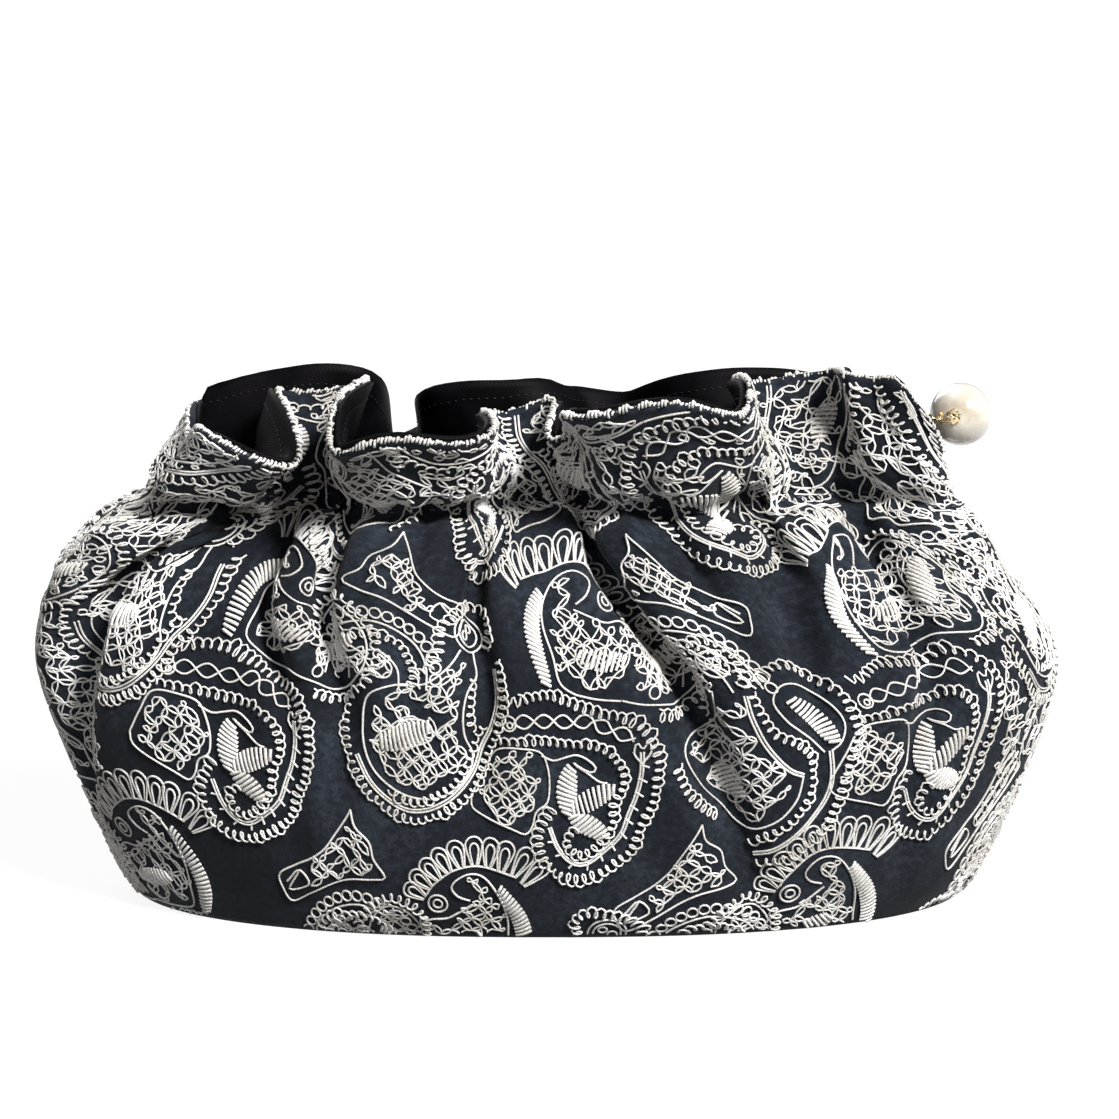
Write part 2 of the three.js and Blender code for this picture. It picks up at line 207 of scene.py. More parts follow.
def slateCotton():
    # slate blue cotton: a fine twill with slubs, faded in patches
    finish = Finish("slate_cotton", Roughness=0.86, Sheen_Weight=0.05, Sheen_Roughness=0.5,
                    Specular_IOR_Level=0.15)
    place = finish.clothPlace()
    across, along = finish.acrossAlong(place)
    twill = ((across + along) * weaves["twill"]).sine()
    weft = ((across - along) * weaves["weft"]).sine()
    patches = finish.noise(finish.coords(), 45.0, 4.0)
    mottle = finish.noise(place, 620.0, 3.0)
    slubs = finish.noise(place, 1400.0, 2.0)
    worn = patches * 0.45 + mottle * 0.35 + slubs * 0.2
    tone = finish.ramp(worn, (0.36, (0.003, 0.004, 0.0062)), (0.5, (0.0085, 0.0112, 0.0165)),
                       (0.64, (0.026, 0.033, 0.045)))
    finish.set("Base Color", tone)
    finish.bump(twill * 0.5 + weft * 0.25 + slubs, 0.35, 0.00012)
    return finish.material


def whiteThread():
    # cotton cord, greyer in random patches, with painted shade between its strands where the bump is low
    finish = Finish("white_thread", Roughness=0.62, Sheen_Weight=0.25, Sheen_Roughness=0.4)
    place = finish.coords()
    patches = finish.noise(place, 60.0, 3.0)
    strands = finish.noise(place, strandScale, 2.0)
    # painted shade: the strand noise that makes the bump's hollows also greys the colour there
    greyPatchesAndPaintedShade = finish.ramp(patches * 0.5 + strands * 0.5, (0.34, (0.36, 0.335, 0.295)),
                        (0.48, (0.66, 0.638, 0.6)), (0.62, (0.95, 0.94, 0.92)))
    finish.set("Base Color", greyPatchesAndPaintedShade)
    finish.bump(strands, **threadBump)
    return finish.material


def blackLining():
    finish = Finish("black_lining", Specular_IOR_Level=0.07)
    across, along = finish.acrossAlong(finish.clothPlace())
    weave = (across * weaves["lining"]).sine() * (along * weaves["lining"]).sine()
    creases = finish.noise(finish.coords(), 120.0, 4.0)
    # painted shade and sheen: the crease noise that raises the bump darkens its hollows and turns its
    # ridges purple-grey
    tone = finish.ramp(creases, (0.35, (0.0006, 0.0006, 0.0008)), (0.7, (0.004, 0.0032, 0.0044)))
    finish.set("Base Color", tone)
    finish.set("Roughness", creases * 0.2 + 0.5)
    finish.bump(weave * 0.3 + creases * 2.0, 0.3, 0.0003)
    return finish.material


def darkThread(name, deep, pale):
    finish = Finish(name, Roughness=0.5)
    strands = finish.noise(finish.coords(), strandScale, 2.0)
    # painted shade: the deep colour lies where the strand noise makes the bump's hollows
    finish.set("Base Color", finish.ramp(strands, (0.3, deep), (0.7, pale)))
    finish.bump(strands, **threadBump)
    return finish.material


def polishedGold():
    finish = Finish("polished_gold", Metallic=1.0)
    rubs = finish.noise(finish.coords(), 900.0, 3.0)
    tone = finish.ramp(rubs, (0.3, (0.76, 0.56, 0.28)), (0.7, (0.97, 0.84, 0.56)))
    finish.set("Base Color", tone)
    finish.set("Roughness", rubs * 0.2 + 0.1)
    finish.bump(rubs, 0.08, 0.0001)
    return finish.material


def creamPearl():
    # cloudy cream under a clear coat, with a painted reflection in its colour: a brown core where the
    # surface faces the view, paler where it turns away
    finish = Finish("cream_pearl", Roughness=0.24, Coat_Weight=0.9, Coat_Roughness=0.04, Coat_IOR=1.6)
    place = finish.coords()
    clouds = finish.noise(place, 140.0, 3.0)
    skin = finish.noise(place, 700.0, 2.0)
    # painted reflection: the facing mask blends the brown core out to a pale rim
    facing = finish.node("ShaderNodeLayerWeight", None, {"Blend": 0.5}, "Facing")
    # random cloudy tone, whose brown end is a painted reflection of the dark pouch
    nacreAndPaintedReflection = finish.ramp(clouds, (0.3, (0.40, 0.32, 0.22)), (0.5, (0.60, 0.53, 0.42)),
                        (0.68, (0.82, 0.78, 0.69)))
    finish.set("Base Color", finish.blend(facing * 0.95, nacreAndPaintedReflection, (0.92, 0.91, 0.87, 1)))
    finish.bump(skin + clouds, 0.12, 0.0004)
    return finish.material


def paleFloor():
    # a sheet that glows, so that hardly any shadow shows on it
    finish = Finish("pale_floor", Roughness=0.9, Emission_Color=(1, 1, 1, 1),
                    Emission_Strength=studio["floorGlow"])
    grain = finish.noise(finish.coords(), 30.0, 3.0)
    pale = studio["floorColour"]
    darker = tuple(c * studio["floorGrain"] for c in pale)
    finish.set("Base Color", finish.blend(grain, (*pale, 1), (*darker, 1)))
    return finish.material


def setFloor():
    half = studio["floorHalf"]
    sheet = bpy.data.meshes.new("studioFloor")
    corners = [(-half, -half, 0), (half, -half, 0), (half, half, 0), (-half, half, 0)]
    sheet.from_pydata(corners, [], [(0, 1, 2, 3)])
    sheet.materials.append(paleFloor())
    floor = addToScene("studioFloor", sheet)
    floor.visible_diffuse = False


setCamera()
setLights()
setFloor()
finishes = {
    "cotton": slateCotton(),
    "thread": whiteThread(),
    "lining": blackLining(),
    "liningThread": darkThread("lining_thread", (0.003, 0.003, 0.0036), (0.009, 0.009, 0.01)),
    "gatherThread": darkThread("gathering_thread", (0.02, 0.025, 0.036), (0.05, 0.06, 0.08)),
    "gold": polishedGold(),
    "pearl": creamPearl(),
}
print("studio and finishes ready")

# The cloth: the same sections, rim turns and folds as the part's solids, in millimetres
pouchCloth = {
    "wall": 1.2,
    "seamGap": 0.3,
    "frillHeight": 25.0,
    "lowestRise": 9.0,
    "boxedPower": 3.6,
    "shirringShare": 0.42,
    "foldFade": 22.0,
    "seamEase": 16.0,
    "seamTurn": 6.0,
    "columns": 216,
    "rows": 92,
    # z, left, right, deep, square, endDrop, even
    "sections": [
        (0.0, 90.0, 90.5, 39.0, 2.3, 0.0, 0.0),
        (9.0, 95.0, 96.0, 43.0, 2.3, 0.0, 0.0),
        (28.0, 103.2, 104.2, 45.0, 2.3, 0.0, 0.0),
        (52.0, 109.5, 109.5, 43.0, 2.3, 0.0, 0.0),
        (70.0, 106.2, 98.8, 34.0, 2.2, 1.0, 0.4),
        (81.5, 97.5, 93.5, 24.0, 2.1, 2.0, 0.85),
        (88.5, 91.0, 89.0, 17.5, 2.0, 4.0, 1.0),
    ],
    "widest": 3,
    "rim": {"left": 76.5, "right": 84.5, "deep": 24.0, "square": 2.0, "even": 1.0},
    "seamDip": {"left": 7.0, "right": 13.0, "power": 16},
    "frillFlare": {"middle": 1.1, "seam": 0.4, "power": 6, "rise": 0.92},
    "endDropPower": 4,
    # at, out, half, drop, tilt
    "rimTurns": {
        "front": [(-61, 25, 9, 1.8, 2), (-48.4, -6, 8, 0.8, -1), (-28, 36, 16, 2.2, 0),
                  (-6, 2, 6, 6, -1), (1.5, 16, 1.5, 10, 0), (22.5, 35, 17.5, -5, 0.5), (51, -6, 9, -3, 0),
                  (66, 4, 3, -5, 0), (77, 7, 4, -4.2, 2.5)],
        "back": [(-76, 6, 4, 7, -2), (-45, 19, 14, 3.5, 0), (-12, 28, 5, 9, 0), (14, 18, 11, 5.5, 0),
                 (31.5, 40, 4, 19, 0), (52, 17, 12, 0.5, 1), (73, 17, 3, 4, 1)],
    },
    # top, foot, footZ, depth, width
    "bodyFolds": {
        "front": [(-98, -112, 14, 8.5, 8.5), (-62, -54, 48, 6.5, 6.5), (-40, -44, 36, 7, 6.5),
                  (-8, -14, 40, 7, 6.5), (17, 44, 8, 10, 8.5), (66, 56, 50, 6, 6.5), (98, 78, 36, 8, 7.5)],
        "back": [(-96, -110, 18, 7.5, 8.5), (-58, -64, 42, 6.5, 7.5), (-22, -36, 14, 9, 8.5),
                 (12, 16, 44, 6.5, 6.5), (50, 58, 36, 7, 7.5), (92, 106, 20, 7.5, 8.5)],
    },
    # a fold is full at this share of its height, and eases above another
    "foldGain": {"full": 0.6, "easeFrom": 0.75, "ease": 0.45},
    # how much the cloth beside a fold swells, and over how wide a strip
    "foldSwell": (0.35, 5),
    "pleats": {"count": 12, "depth": 1.5, "fade": 10.0},
    # small gathers and soft hollows that only the dressed cloth has
    "gathers": {
        "seed": 4,
        "count": 34,
        "depth": (1.2, 3.6),
        "width": (1.9, 3.4),
        "below": (9, 36),
        "above": (6, 15),
        "place": (0.15, 0.85),
        "slant": (-0.12, 0.12),
        "swell": (0.4, 4),
    },
    "drawnFolds": {"deeper": 0.85, "narrower": 0.55, "middle": -16.0, "reach": 6.4, "above": 15.0,
                   "highest": -0.3, "swell": (0.5, 6)},
    "groove": {"depth": 3.0, "width": 2.6},
    "puff": {"depth": 1.7, "below": -9.0, "above": 8.0, "width": 5.5},
    "creases": {"seed": 9, "count": 11, "depth": 0.5, "apart": (24, 62), "level": 0.64},
    "edgeEase": {"base": 8, "rim": 10},
    # points along the curves that the cloth follows
    "planSteps": 481,
    "planTangent": 45,
    "rimSteps": 60,
    "heightSteps": 241,
}
sectionColumns = ("z", "left", "right", "deep", "square", "endDrop", "even")
shirred = len(pouchCloth["sections"]) - 1
shirredZ = pouchCloth["sections"][shirred][0]


def smoothStep(t):
    t = np.clip(t, 0, 1)
    return t * t * (3 - 2 * t)


def curveSpan(t, start, leave, end, arrive):
    # a smooth way from start to end that leaves and arrives at the given slopes
    first = (2 * t**3 - 3 * t**2 + 1) * start + (t**3 - 2 * t**2 + t) * leave
    return first + (3 * t**2 - 2 * t**3) * end + (t**3 - t**2) * arrive


def sectionAt(k):
    rows = np.array(pouchCloth["sections"])
    i = min(shirred - 1, int(k))
    before, start, end, after = (rows[min(shirred, max(0, j))] for j in range(i - 1, i + 3))
    row = curveSpan(k - i, start, (end - before) / 2, end, (after - start) / 2)
    return dict(zip(sectionColumns, row))


def smoothPath(points, perSpan=24):
    # a smooth curve through the points, spaced by the square root of their distances
    p = np.array(points, float)
    p = np.vstack([2 * p[0] - p[1], p, 2 * p[-1] - p[-2]])
    gap = np.maximum(np.linalg.norm(np.diff(p, axis=0), axis=1), 1e-4) ** 0.5
    t = np.linspace(0, 1, perSpan, endpoint=False)[:, None]
    spans = []
    for i in range(1, len(p) - 2):
        a, b, c, d = p[i - 1 : i + 3]
        g0, g1, g2 = gap[i - 1 : i + 2]
        leave = ((b - a) / g0 - (c - a) / (g0 + g1) + (c - b) / g1) * g1
        arrive = ((c - b) / g1 - (d - b) / (g1 + g2) + (d - c) / g2) * g1
        spans.append(curveSpan(t, b, leave, c, arrive))
    return np.vstack([*spans, p[-2]])


def runOf(path):
    return np.concatenate([[0], np.cumsum(np.linalg.norm(np.diff(path, axis=0), axis=1))])


def alongPath(path, places):
    run = runOf(path)
    return np.stack([np.interp(places, run, path[:, i]) for i in range(path.shape[1])], axis=1)


def evenly(path, spacing):
    length = runOf(path)[-1]
    return alongPath(path, np.linspace(0, length, max(2, int(round(length / spacing)) + 1)))


def planCurve(section, side):
    left, right = section["left"], section["right"]
    if side == "back":
        left, right = right, left
    angle = np.linspace(0, np.pi, pouchCloth["planSteps"])
    power = 2 / section["square"]
    across = -np.cos(angle)
    x = np.sign(across) * np.where(across < 0, left, right) * np.abs(across) ** power
    y = -section["deep"] * np.abs(np.sin(angle)) ** power
    return np.stack([x, y], axis=1)


widestSection = dict(zip(sectionColumns, pouchCloth["sections"][pouchCloth["widest"]]))
panelHalf = runOf(planCurve(widestSection, "front"))[-1] / 2


def planPlace(section, side, cloth):
    curve = planCurve(section, side)
    half = runOf(curve)[-1] / 2
    share = cloth / panelHalf
    spare = max(1, panelHalf / half)
    boxed = spare * share - (spare - 1) * np.sign(share) * np.abs(share) ** pouchCloth["boxedPower"]
    along = half * (1 + boxed + (share - boxed) * section["even"])
    reach = half / pouchCloth["planTangent"]
    ahead, behind = alongPath(curve, along + reach), alongPath(curve, along - reach)
    tangent = (ahead - behind) / np.linalg.norm(ahead - behind, axis=1)[:, None]
    return alongPath(curve, along), tangent


def rimCurve(side):
    rim = pouchCloth["rim"]
    left, right = (rim["left"], rim["right"]) if side == "front" else (rim["right"], rim["left"])
    points = [(-left, 0, 0)]
    for at, out, half, drop, tilt in pouchCloth["rimTurns"][side]:
        points += [(at - half, -out, tilt - drop), (at + half, -out, -tilt - drop)]
    return smoothPath([*points, (right, 0, 0)], pouchCloth["rimSteps"])


def rimPlace(side, cloth):
    curve = rimCurve(side)
    at = alongPath(curve, np.clip(cloth / panelHalf + 1, 0, 2) / 2 * runOf(curve)[-1])
    return at[:, :2], -at[:, 2]


def foldShape(q, swell):
    # how deep a fold is q widths from its middle, with the cloth swelling beside it
    share, wider = swell
    return np.exp(-q * q) - share * np.exp(-q * q / wider)


def bodyFoldDepth(side, cloth, z):
    gain = pouchCloth["foldGain"]
    depth = np.zeros_like(cloth)
    for top, foot, footZ, deep, width in pouchCloth["bodyFolds"][side]:
        up = min(1, max(0, (z - footZ) / (shirredZ - footZ)))
        easing = smoothStep((up - gain["easeFrom"]) / (1 - gain["easeFrom"]))
        grown = smoothStep(up / gain["full"]) * (1 - gain["ease"] * easing)
        q = (cloth - foot - (top - foot) * up) / width
        depth += deep * grown * foldShape(q, pouchCloth["foldSwell"])
    return depth


def seamEase(cloth):
    return smoothStep((panelHalf - np.abs(cloth)) / pouchCloth["seamEase"])


def bodyRow(side, cloth, k):
    section = sectionAt(k)
    place, tangent = planPlace(section, side, cloth)
    below = shirredZ - section["z"]
    pleats = pouchCloth["pleats"]
    drawn = pleats["depth"] * np.cos(np.pi * pleats["count"] * cloth / panelHalf)
    drawn = drawn * math.exp(-((below / pleats["fade"]) ** 2))
    inward = (bodyFoldDepth(side, cloth, section["z"]) + drawn) * seamEase(cloth)
    place = place - np.stack([tangent[:, 1], -tangent[:, 0]], axis=1) * inward[:, None]
    fold = rimPlace(side, cloth)[0] - planPlace(pouchCloth["rim"], side, cloth)[0]
    place = place + fold * pouchCloth["shirringShare"] * math.exp(-((below / pouchCloth["foldFade"]) ** 2))
    z = section["z"] - section["endDrop"] * np.abs(cloth / panelHalf) ** pouchCloth["endDropPower"]
    return np.column_stack([place, z])


def frillRow(side, cloth, t):
    foot = bodyRow(side, cloth, shirred)
    place, drop = rimPlace(side, cloth)
    lean = place - foot[:, :2]
    rise = np.sqrt(np.maximum(0, pouchCloth["frillHeight"] ** 2 - (lean**2).sum(axis=1)))
    rise = np.maximum(pouchCloth["lowestRise"], rise) - drop
    dip = pouchCloth["seamDip"]
    deepest = np.where((side == "front") == (cloth > 0), dip["right"], dip["left"])
    rise = rise - deepest * np.abs(cloth / panelHalf) ** dip["power"]
    bend = pouchCloth["frillFlare"]
    toSeam = np.abs(cloth / panelHalf) ** bend["power"]
    flare = t ** (bend["middle"] + (bend["seam"] - bend["middle"]) * toSeam)
    return np.column_stack([foot[:, :2] + lean * flare[:, None], foot[:, 2] + rise * t ** bend["rise"]])


def panelRow(side, cloth, k):
    row = bodyRow(side, cloth, k) if k <= shirred else frillRow(side, cloth, k - shirred)
    return row * ((1, 1, 1) if side == "front" else (-1, -1, 1))


# Height on the flat cloth, in millimetres above the base edge, of each k
kSteps = np.linspace(0, shirred, pouchCloth["heightSteps"])
sideView = np.array([(s["deep"], s["z"]) for s in map(sectionAt, kSteps)])
clothHeights = np.append(runOf(sideView), runOf(sideView)[-1] + pouchCloth["frillHeight"])
kSteps = np.append(kSteps, shirred + 1)
shirredHeight = clothHeights[-2]
clothTop = clothHeights[-1]


def gridNormals(grid):
    across = np.gradient(grid, axis=1)
    up = np.gradient(grid, axis=0)
    normal = np.cross(across, up)
    return normal / np.linalg.norm(normal, axis=2)[:, :, None]


def smallFolds(side, cloth, height):
    # how far the gathers, the shirring and soft hollows move the cloth in (negative) or out
    g = pouchCloth["gathers"]
    draw = np.random.default_rng(g["seed"] + (side == "back"))
    up = height[:, None] - shirredHeight
    move = np.zeros((len(height), len(cloth)))
    spacing = 2 * panelHalf / g["count"]
    for i in range(g["count"]):
        at = -panelHalf + (i + draw.uniform(*g["place"])) * spacing
        deep, width = draw.uniform(*g["depth"]), draw.uniform(*g["width"])
        fade = np.where(up < 0, up / draw.uniform(*g["below"]), up / draw.uniform(*g["above"]))
        q = (cloth[None, :] - at - up * draw.uniform(*g["slant"])) / width
        move -= deep * np.exp(-fade * fade) * foldShape(q, g["swell"])
    d = pouchCloth["drawnFolds"]
    for top, foot, footZ, deep, width in pouchCloth["bodyFolds"][side]:
        length = shirredHeight * (1 - footZ / shirredZ)
        line = top + (foot - top) * np.clip(-up / length, d["highest"], 1)
        under = up - d["middle"]
        fade = np.where(under < 0, under / (d["reach"] * deep), under / d["above"])
        q = (cloth[None, :] - line) / (width * d["narrower"])
        move -= deep * d["deeper"] * np.exp(-fade * fade) * foldShape(q, d["swell"])
    move -= pouchCloth["groove"]["depth"] * np.exp(-((up / pouchCloth["groove"]["width"]) ** 2))
    puff = pouchCloth["puff"]
    for middle in (puff["below"], puff["above"]):
        move += puff["depth"] * np.exp(-(((up - middle) / puff["width"]) ** 2))
    c = pouchCloth["creases"]
    draw = np.random.default_rng(c["seed"] + (side == "back"))
    for _ in range(c["count"]):
        turn, apart = draw.uniform(0, np.pi), draw.uniform(*c["apart"])
        wave = (cloth[None, :] * math.cos(turn) + height[:, None] * math.sin(turn)) / apart
        move += c["depth"] * (np.abs(np.sin(np.pi * (wave + draw.uniform()))) - c["level"])
    ease = pouchCloth["edgeEase"]
    atEdges = smoothStep(height / ease["base"]) * smoothStep((clothTop - height) / ease["rim"])
    return move * seamEase(cloth)[None, :] * atEdges[:, None]


class Panel:
    # one outer panel as a grid of points on its face, with the way out of the cloth at each
    def __init__(self, side):
        self.side = side
        edge = panelHalf - pouchCloth["seamGap"] / 2
        self.cloth = np.linspace(-edge, edge, pouchCloth["columns"] + 1)
        self.height = np.linspace(0, clothTop, pouchCloth["rows"] + 1)
        ks = np.interp(self.height, clothHeights, kSteps)
        plain = np.array([panelRow(side, self.cloth, k) for k in ks])
        moved = smallFolds(side, self.cloth, self.height)
        self.face = plain + self.seamNormals(plain) * moved[:, :, None]
        self.out = self.seamNormals(self.face)

    def seamNormals(self, grid):
        out = gridNormals(grid)
        out[:, :, 1] *= smoothStep((panelHalf - np.abs(self.cloth)) / pouchCloth["seamTurn"])[None, :]
        return out / np.linalg.norm(out, axis=2)[:, :, None]

    def inset(self, depth):
        return self.face - self.out * depth

    def at(self, grid, u, v):
        # the grid's value at places on the flat cloth
        x = np.clip((u - self.cloth[0]) / (self.cloth[1] - self.cloth[0]), 0, len(self.cloth) - 1.001)
        y = np.clip(v / self.height[1], 0, len(self.height) - 1.001)
        i, j = x.astype(int), y.astype(int)
        fx, fy = (x - i)[:, None], (y - j)[:, None]
        low = grid[j, i] * (1 - fx) + grid[j, i + 1] * fx
        high = grid[j + 1, i] * (1 - fx) + grid[j + 1, i + 1] * fx
        return low * (1 - fy) + high * fy

    def lift(self, u, v, height):
        return self.at(self.face, u, v) + self.at(self.out, u, v) * np.asarray(height)[..., None]


def addObject(mesh, material):
    mesh.materials.append(material)
    return addToScene(mesh.name, mesh)


def gridFaces(rows, columns, start, wrap, outward):
    # quads of a grid whose points are numbered row by row from start
    last = columns if wrap else columns - 1
    j, i = np.meshgrid(np.arange(rows - 1), np.arange(last), indexing="ij")
    a, b = start + j * columns + i, start + j * columns + (i + 1) % columns
    quads = np.stack([a, b, b + columns, a + columns], axis=2).reshape(-1, 4)
    return quads if outward else quads[:, ::-1]


def closingFans(centres, highRing, count):
    # triangles from two centres to the first ring of points and to the one that starts at highRing
    faces = []
    for i in range(count):
        j = (i + 1) % count
        faces += [(centres, j, i), (centres + 1, highRing + i, highRing + j)]
    return faces


def clothMesh(name, points, polygons, places):
    # a mesh in metres, with each point's place on the flat cloth as its UV map
    mesh = bpy.data.meshes.new(name)
    mesh.from_pydata((points * mm).tolist(), [], polygons)
    layer = mesh.uv_layers.new(name="clothMap")
    corners = np.zeros(len(mesh.loops), int)
    mesh.loops.foreach_get("vertex_index", corners)
    layer.data.foreach_set("uv", (places[corners] * mm).ravel())
    return mesh


def smoothFaces(mesh):
    mesh.polygons.foreach_set("use_smooth", np.ones(len(mesh.polygons), bool))


def wallMesh(name, face, backing, clothMap, wrap=False, lowFloor=None):
    # a closed wall between two grids; lowFloor gives the two centres of a floor that closes it below
    rows, columns = face.shape[:2]
    count = rows * columns
    points = np.vstack([face.reshape(-1, 3), backing.reshape(-1, 3)])
    faces = [gridFaces(rows, columns, 0, wrap, True), gridFaces(rows, columns, count, wrap, False)]
    top = np.arange(columns) + (rows - 1) * columns
    edges = [np.stack([top, top + count], axis=1)]
    if lowFloor is None:
        edges.append(np.stack([np.arange(columns) + count, np.arange(columns)], axis=1))
    sides = []
    for strip in edges:
        ring = np.vstack([strip, strip[:1]]) if wrap else strip
        sides.append(np.column_stack([ring[:-1, 0], ring[1:, 0], ring[1:, 1], ring[:-1, 1]]))
    if not wrap:
        for column, flip in ((0, True), (columns - 1, False)):
            line = np.arange(rows) * columns + column
            quad = np.column_stack([line[:-1], line[1:], line[1:] + count, line[:-1] + count])
            sides.append(quad if flip else quad[:, ::-1])
    polygons = np.vstack([*faces, *sides]).tolist()
    places = np.vstack([clothMap.reshape(-1, 2)] * 2)
    if lowFloor is not None:
        polygons += closingFans(len(points), count, columns)
        points = np.vstack([points, lowFloor])
        places = np.vstack([places, np.zeros((2, 2))])
    mesh = clothMesh(name, points, polygons, places)
    smoothFaces(mesh)
    mesh.validate()
    return mesh


def flatMap(cloth, height):
    return np.stack(np.meshgrid(cloth, height), axis=2)


panels = {side: Panel(side) for side in ("front", "back")}
panelPieces = {}
for side, panel in panels.items():
    backing = panel.inset(pouchCloth["wall"])
    wall = wallMesh(f"{side}_cloth", panel.face, backing, flatMap(panel.cloth, panel.height))
    panelPieces[side] = addObject(wall, finishes["cotton"])
print("outer cloth ready")

# Embroidery, charted on the flat cloth in millimetres with y up: each row is kind, size, offset and path,
# and a stroke turns it into strands of (across, up, lift)
threadWork = {
    "lineRadius": 0.25,
    "loopRadius": 0.24,
    "fillRadius": 0.22,
    "satinRadius": 0.4,
    "sides": 4,
    "lift": 0.22,
    "lineStep": 0.95,
    "loopPitch": 1.75,
    "loopAlong": 0.62,
    "loopSteps": 8,
    "loopUneven": (0.6, 1.35),
    "loopStray": 0.28,
    "loopRise": 0.16,
    "thick": {"step": 1.0, "half": 0.3},
    # how far a tick stands in and out, as shares of its size, and how it slants
    "tick": {"pitch": 3.2, "inner": 0.5, "outer": 1.5, "back": 0.4, "ahead": 0.3, "step": 0.9},
    "chain": {"eye": 4.4, "steps": 10, "second": 0.85},
    "ring": {"fewest": 7, "perSize": 5, "apart": 2.2},
    "leaf": {"pitch": 0.98, "rise": 0.34, "margin": 0.06, "lean": 0.9, "blunt": 0.4, "slant": 0.5,
             "steps": 5},
    # outlines of a petal: half width and share of its length
    "petal": {"pitch": 2.75, "shorter": 0.4, "outlines": [(1.85, 1.0), (0.95, 0.78)]},
    # places of a net and the loops between them: their width and bow as shares of their length
    "net": {"pitch": 2.7, "jitter": 0.6, "wide": (0.1, 0.3), "bow": 0.16, "whole": 0.88, "cut": 0.6,
            "cutShare": 0.55, "steps": 4, "turn": (0.5, 1.0), "reach": 9},
    "seed": 21,
    # a net of loops that covers what ground is left on the frill and at the ends
    "ground": {"cell": 1.0, "lowest": 34.0, "ends": 99.0},
    "pitch": 75.0,
    "columns": range(-3, 4),
    "beyond": 40.0,  # a motif further than this outside the panel is left out
    "clear": {"seam": 0.6, "base": 0.7, "rim": 1.0},
    "shortest": 3,  # points
    # height of a row's first motif, its place across, which way it faces, and columns of another kind
    "rows": [(-27.0, -13.0, -1, {}), (37.0, 6.0, 1, {-1: "shoulder"}), (100.0, -13.0, -1, {-1: "neck"})],
    "backShift": (31.0, -6.0),
    # where the gathers have drawn the cloth: place across, along, up, and along from the neck upwards
    "drawn": [(-128.0, 2.0, 17.0, 6.0), (-69.0, 4.0, 4.8, 9.0), (6.0, 0.0, -2.5, 1.5),
              (81.0, 1.8, 3.5, -8.5), (128.0, -2.0, 22.0, -5.0)],
    "neck": (44.0, 68.0),
}
curledPaisley = [
    ("line", 0, 0, [(-16.5, 18.6), (-15.2, 16.8), (-14.4, 18.9), (-13.4, 16.6), (-12.7, 19.2)]),
    ("loops", 1.15, 0, [(-12.7, 18.2), (-10.2, 19.5), (-4.4, 20), (1.5, 18), (5.8, 16.6), (10.2, 15.4),
        (13.9, 11.6), (16, 7), (16, 1.5), (15.4, -2.9), (13.1, -7.6), (11.6, -12.2), (8.7, -15.4),
        (2.9, -18.6), (-2.9, -19.2), (-7, -16.6), (-9, -12.5), (-9, -9.6), (-7.6, -6.4), (-5.8, -3.5)]),
    ("chain", 1.5, 0, [(-14.2, 13.4), (-10.5, 14.2), (-5.8, 14.8), (-1.5, 14.8), (2.6, 15.4), (5.8, 13.4),
        (8.7, 12.5), (11.3, 10.8)]),
    ("ring", 1.5, 0, [(-15.2, 13.2)]),
    ("ring", 0.6, 0, [(-15.0, 12.9)]),
    ("loops", 0.95, 0, [(-17.7, 9.6), (-13, 9.9), (-7, 10.5), (-2.3, 10.5), (2, 10.5), (4.7, 9.6),
        (7.3, 7.6), (9, 4.4), (9.2, 0.6), (7.6, -2.9), (7, -7.6), (4.4, -11.3), (2, -13.4), (-0.6, -13.9),
        (-2.9, -11.6), (-2, -9), (-0.3, -7.6)]),
    ("ticks", 1.0, 0, [(12.8, 8.1), (12.8, 5.2), (12.5, 2.3), (11.6, -1.5), (10.2, -5.2), (8.4, -9.9),
        (5.2, -13.1), (1.5, -15.7), (-1.7, -15.4), (-4.6, -12.5), (-6.4, -8.1)]),
    ("line", 0, 0, [(12.8, 5.6), (11.2, 8.0), (11.9, 10.2), (12.9, 8.6), (14.0, 10.0), (14.5, 7.9),
        (12.8, 5.6)]),
    ("line", 0, 0, [(-23.5, -2.5), (-20.6, 2.9), (-17.7, 7.6), (-11.9, 8.4), (-8.1, 7.8), (-6.7, 4.6),
        (-6.4, 0), (-7, -2.9), (-9.3, -4.9), (-10.2, -8.1), (-11.6, -9.9), (-14.5, -9), (-23.2, -5.2),
        (-23.5, -2.5)]),
    ("fill", 0, 0, [(-23, -3.8), (-18, 6.6), (-9, 7.4), (-7.4, 0), (-11.2, -8.8), (-15, -8.2)]),
    ("leaf", 2.2, 0, [(-2.4, -4.6), (-2.6, 0.4), (-1.6, 5.1)]),
    ("leaf", 2.3, 0, [(-1.2, -3.4), (3.2, -1.2), (7.0, 0.2)]),
    ("leaf", 2.1, 0, [(-1.0, -5.0), (2.0, -7.2), (5.2, -9.8)]),
    ("line", 0, 0, [(-8.1, 7.3), (-5.5, 6.4), (-2.9, 7.3), (0, 8.1), (3.5, 5.2), (2.8, 4.2), (-1.4, 6.6),
        (1.5, 4.4), (4.4, 2), (5.8, 1.7)]),
]
fanTop = [(-11.3, 11.6), (-6.6, 13), (-1.7, 13.6), (2.3, 12.5), (5, 10.5), (7.6, 7.8)]
fanLobe = [(14.3, -17.0), (18.3, -15), (20.9, -11), (21.6, -6), (20.4, -1), (17.0, 2.2), (13.2, 1.6),
        (10.8, -1.0)]
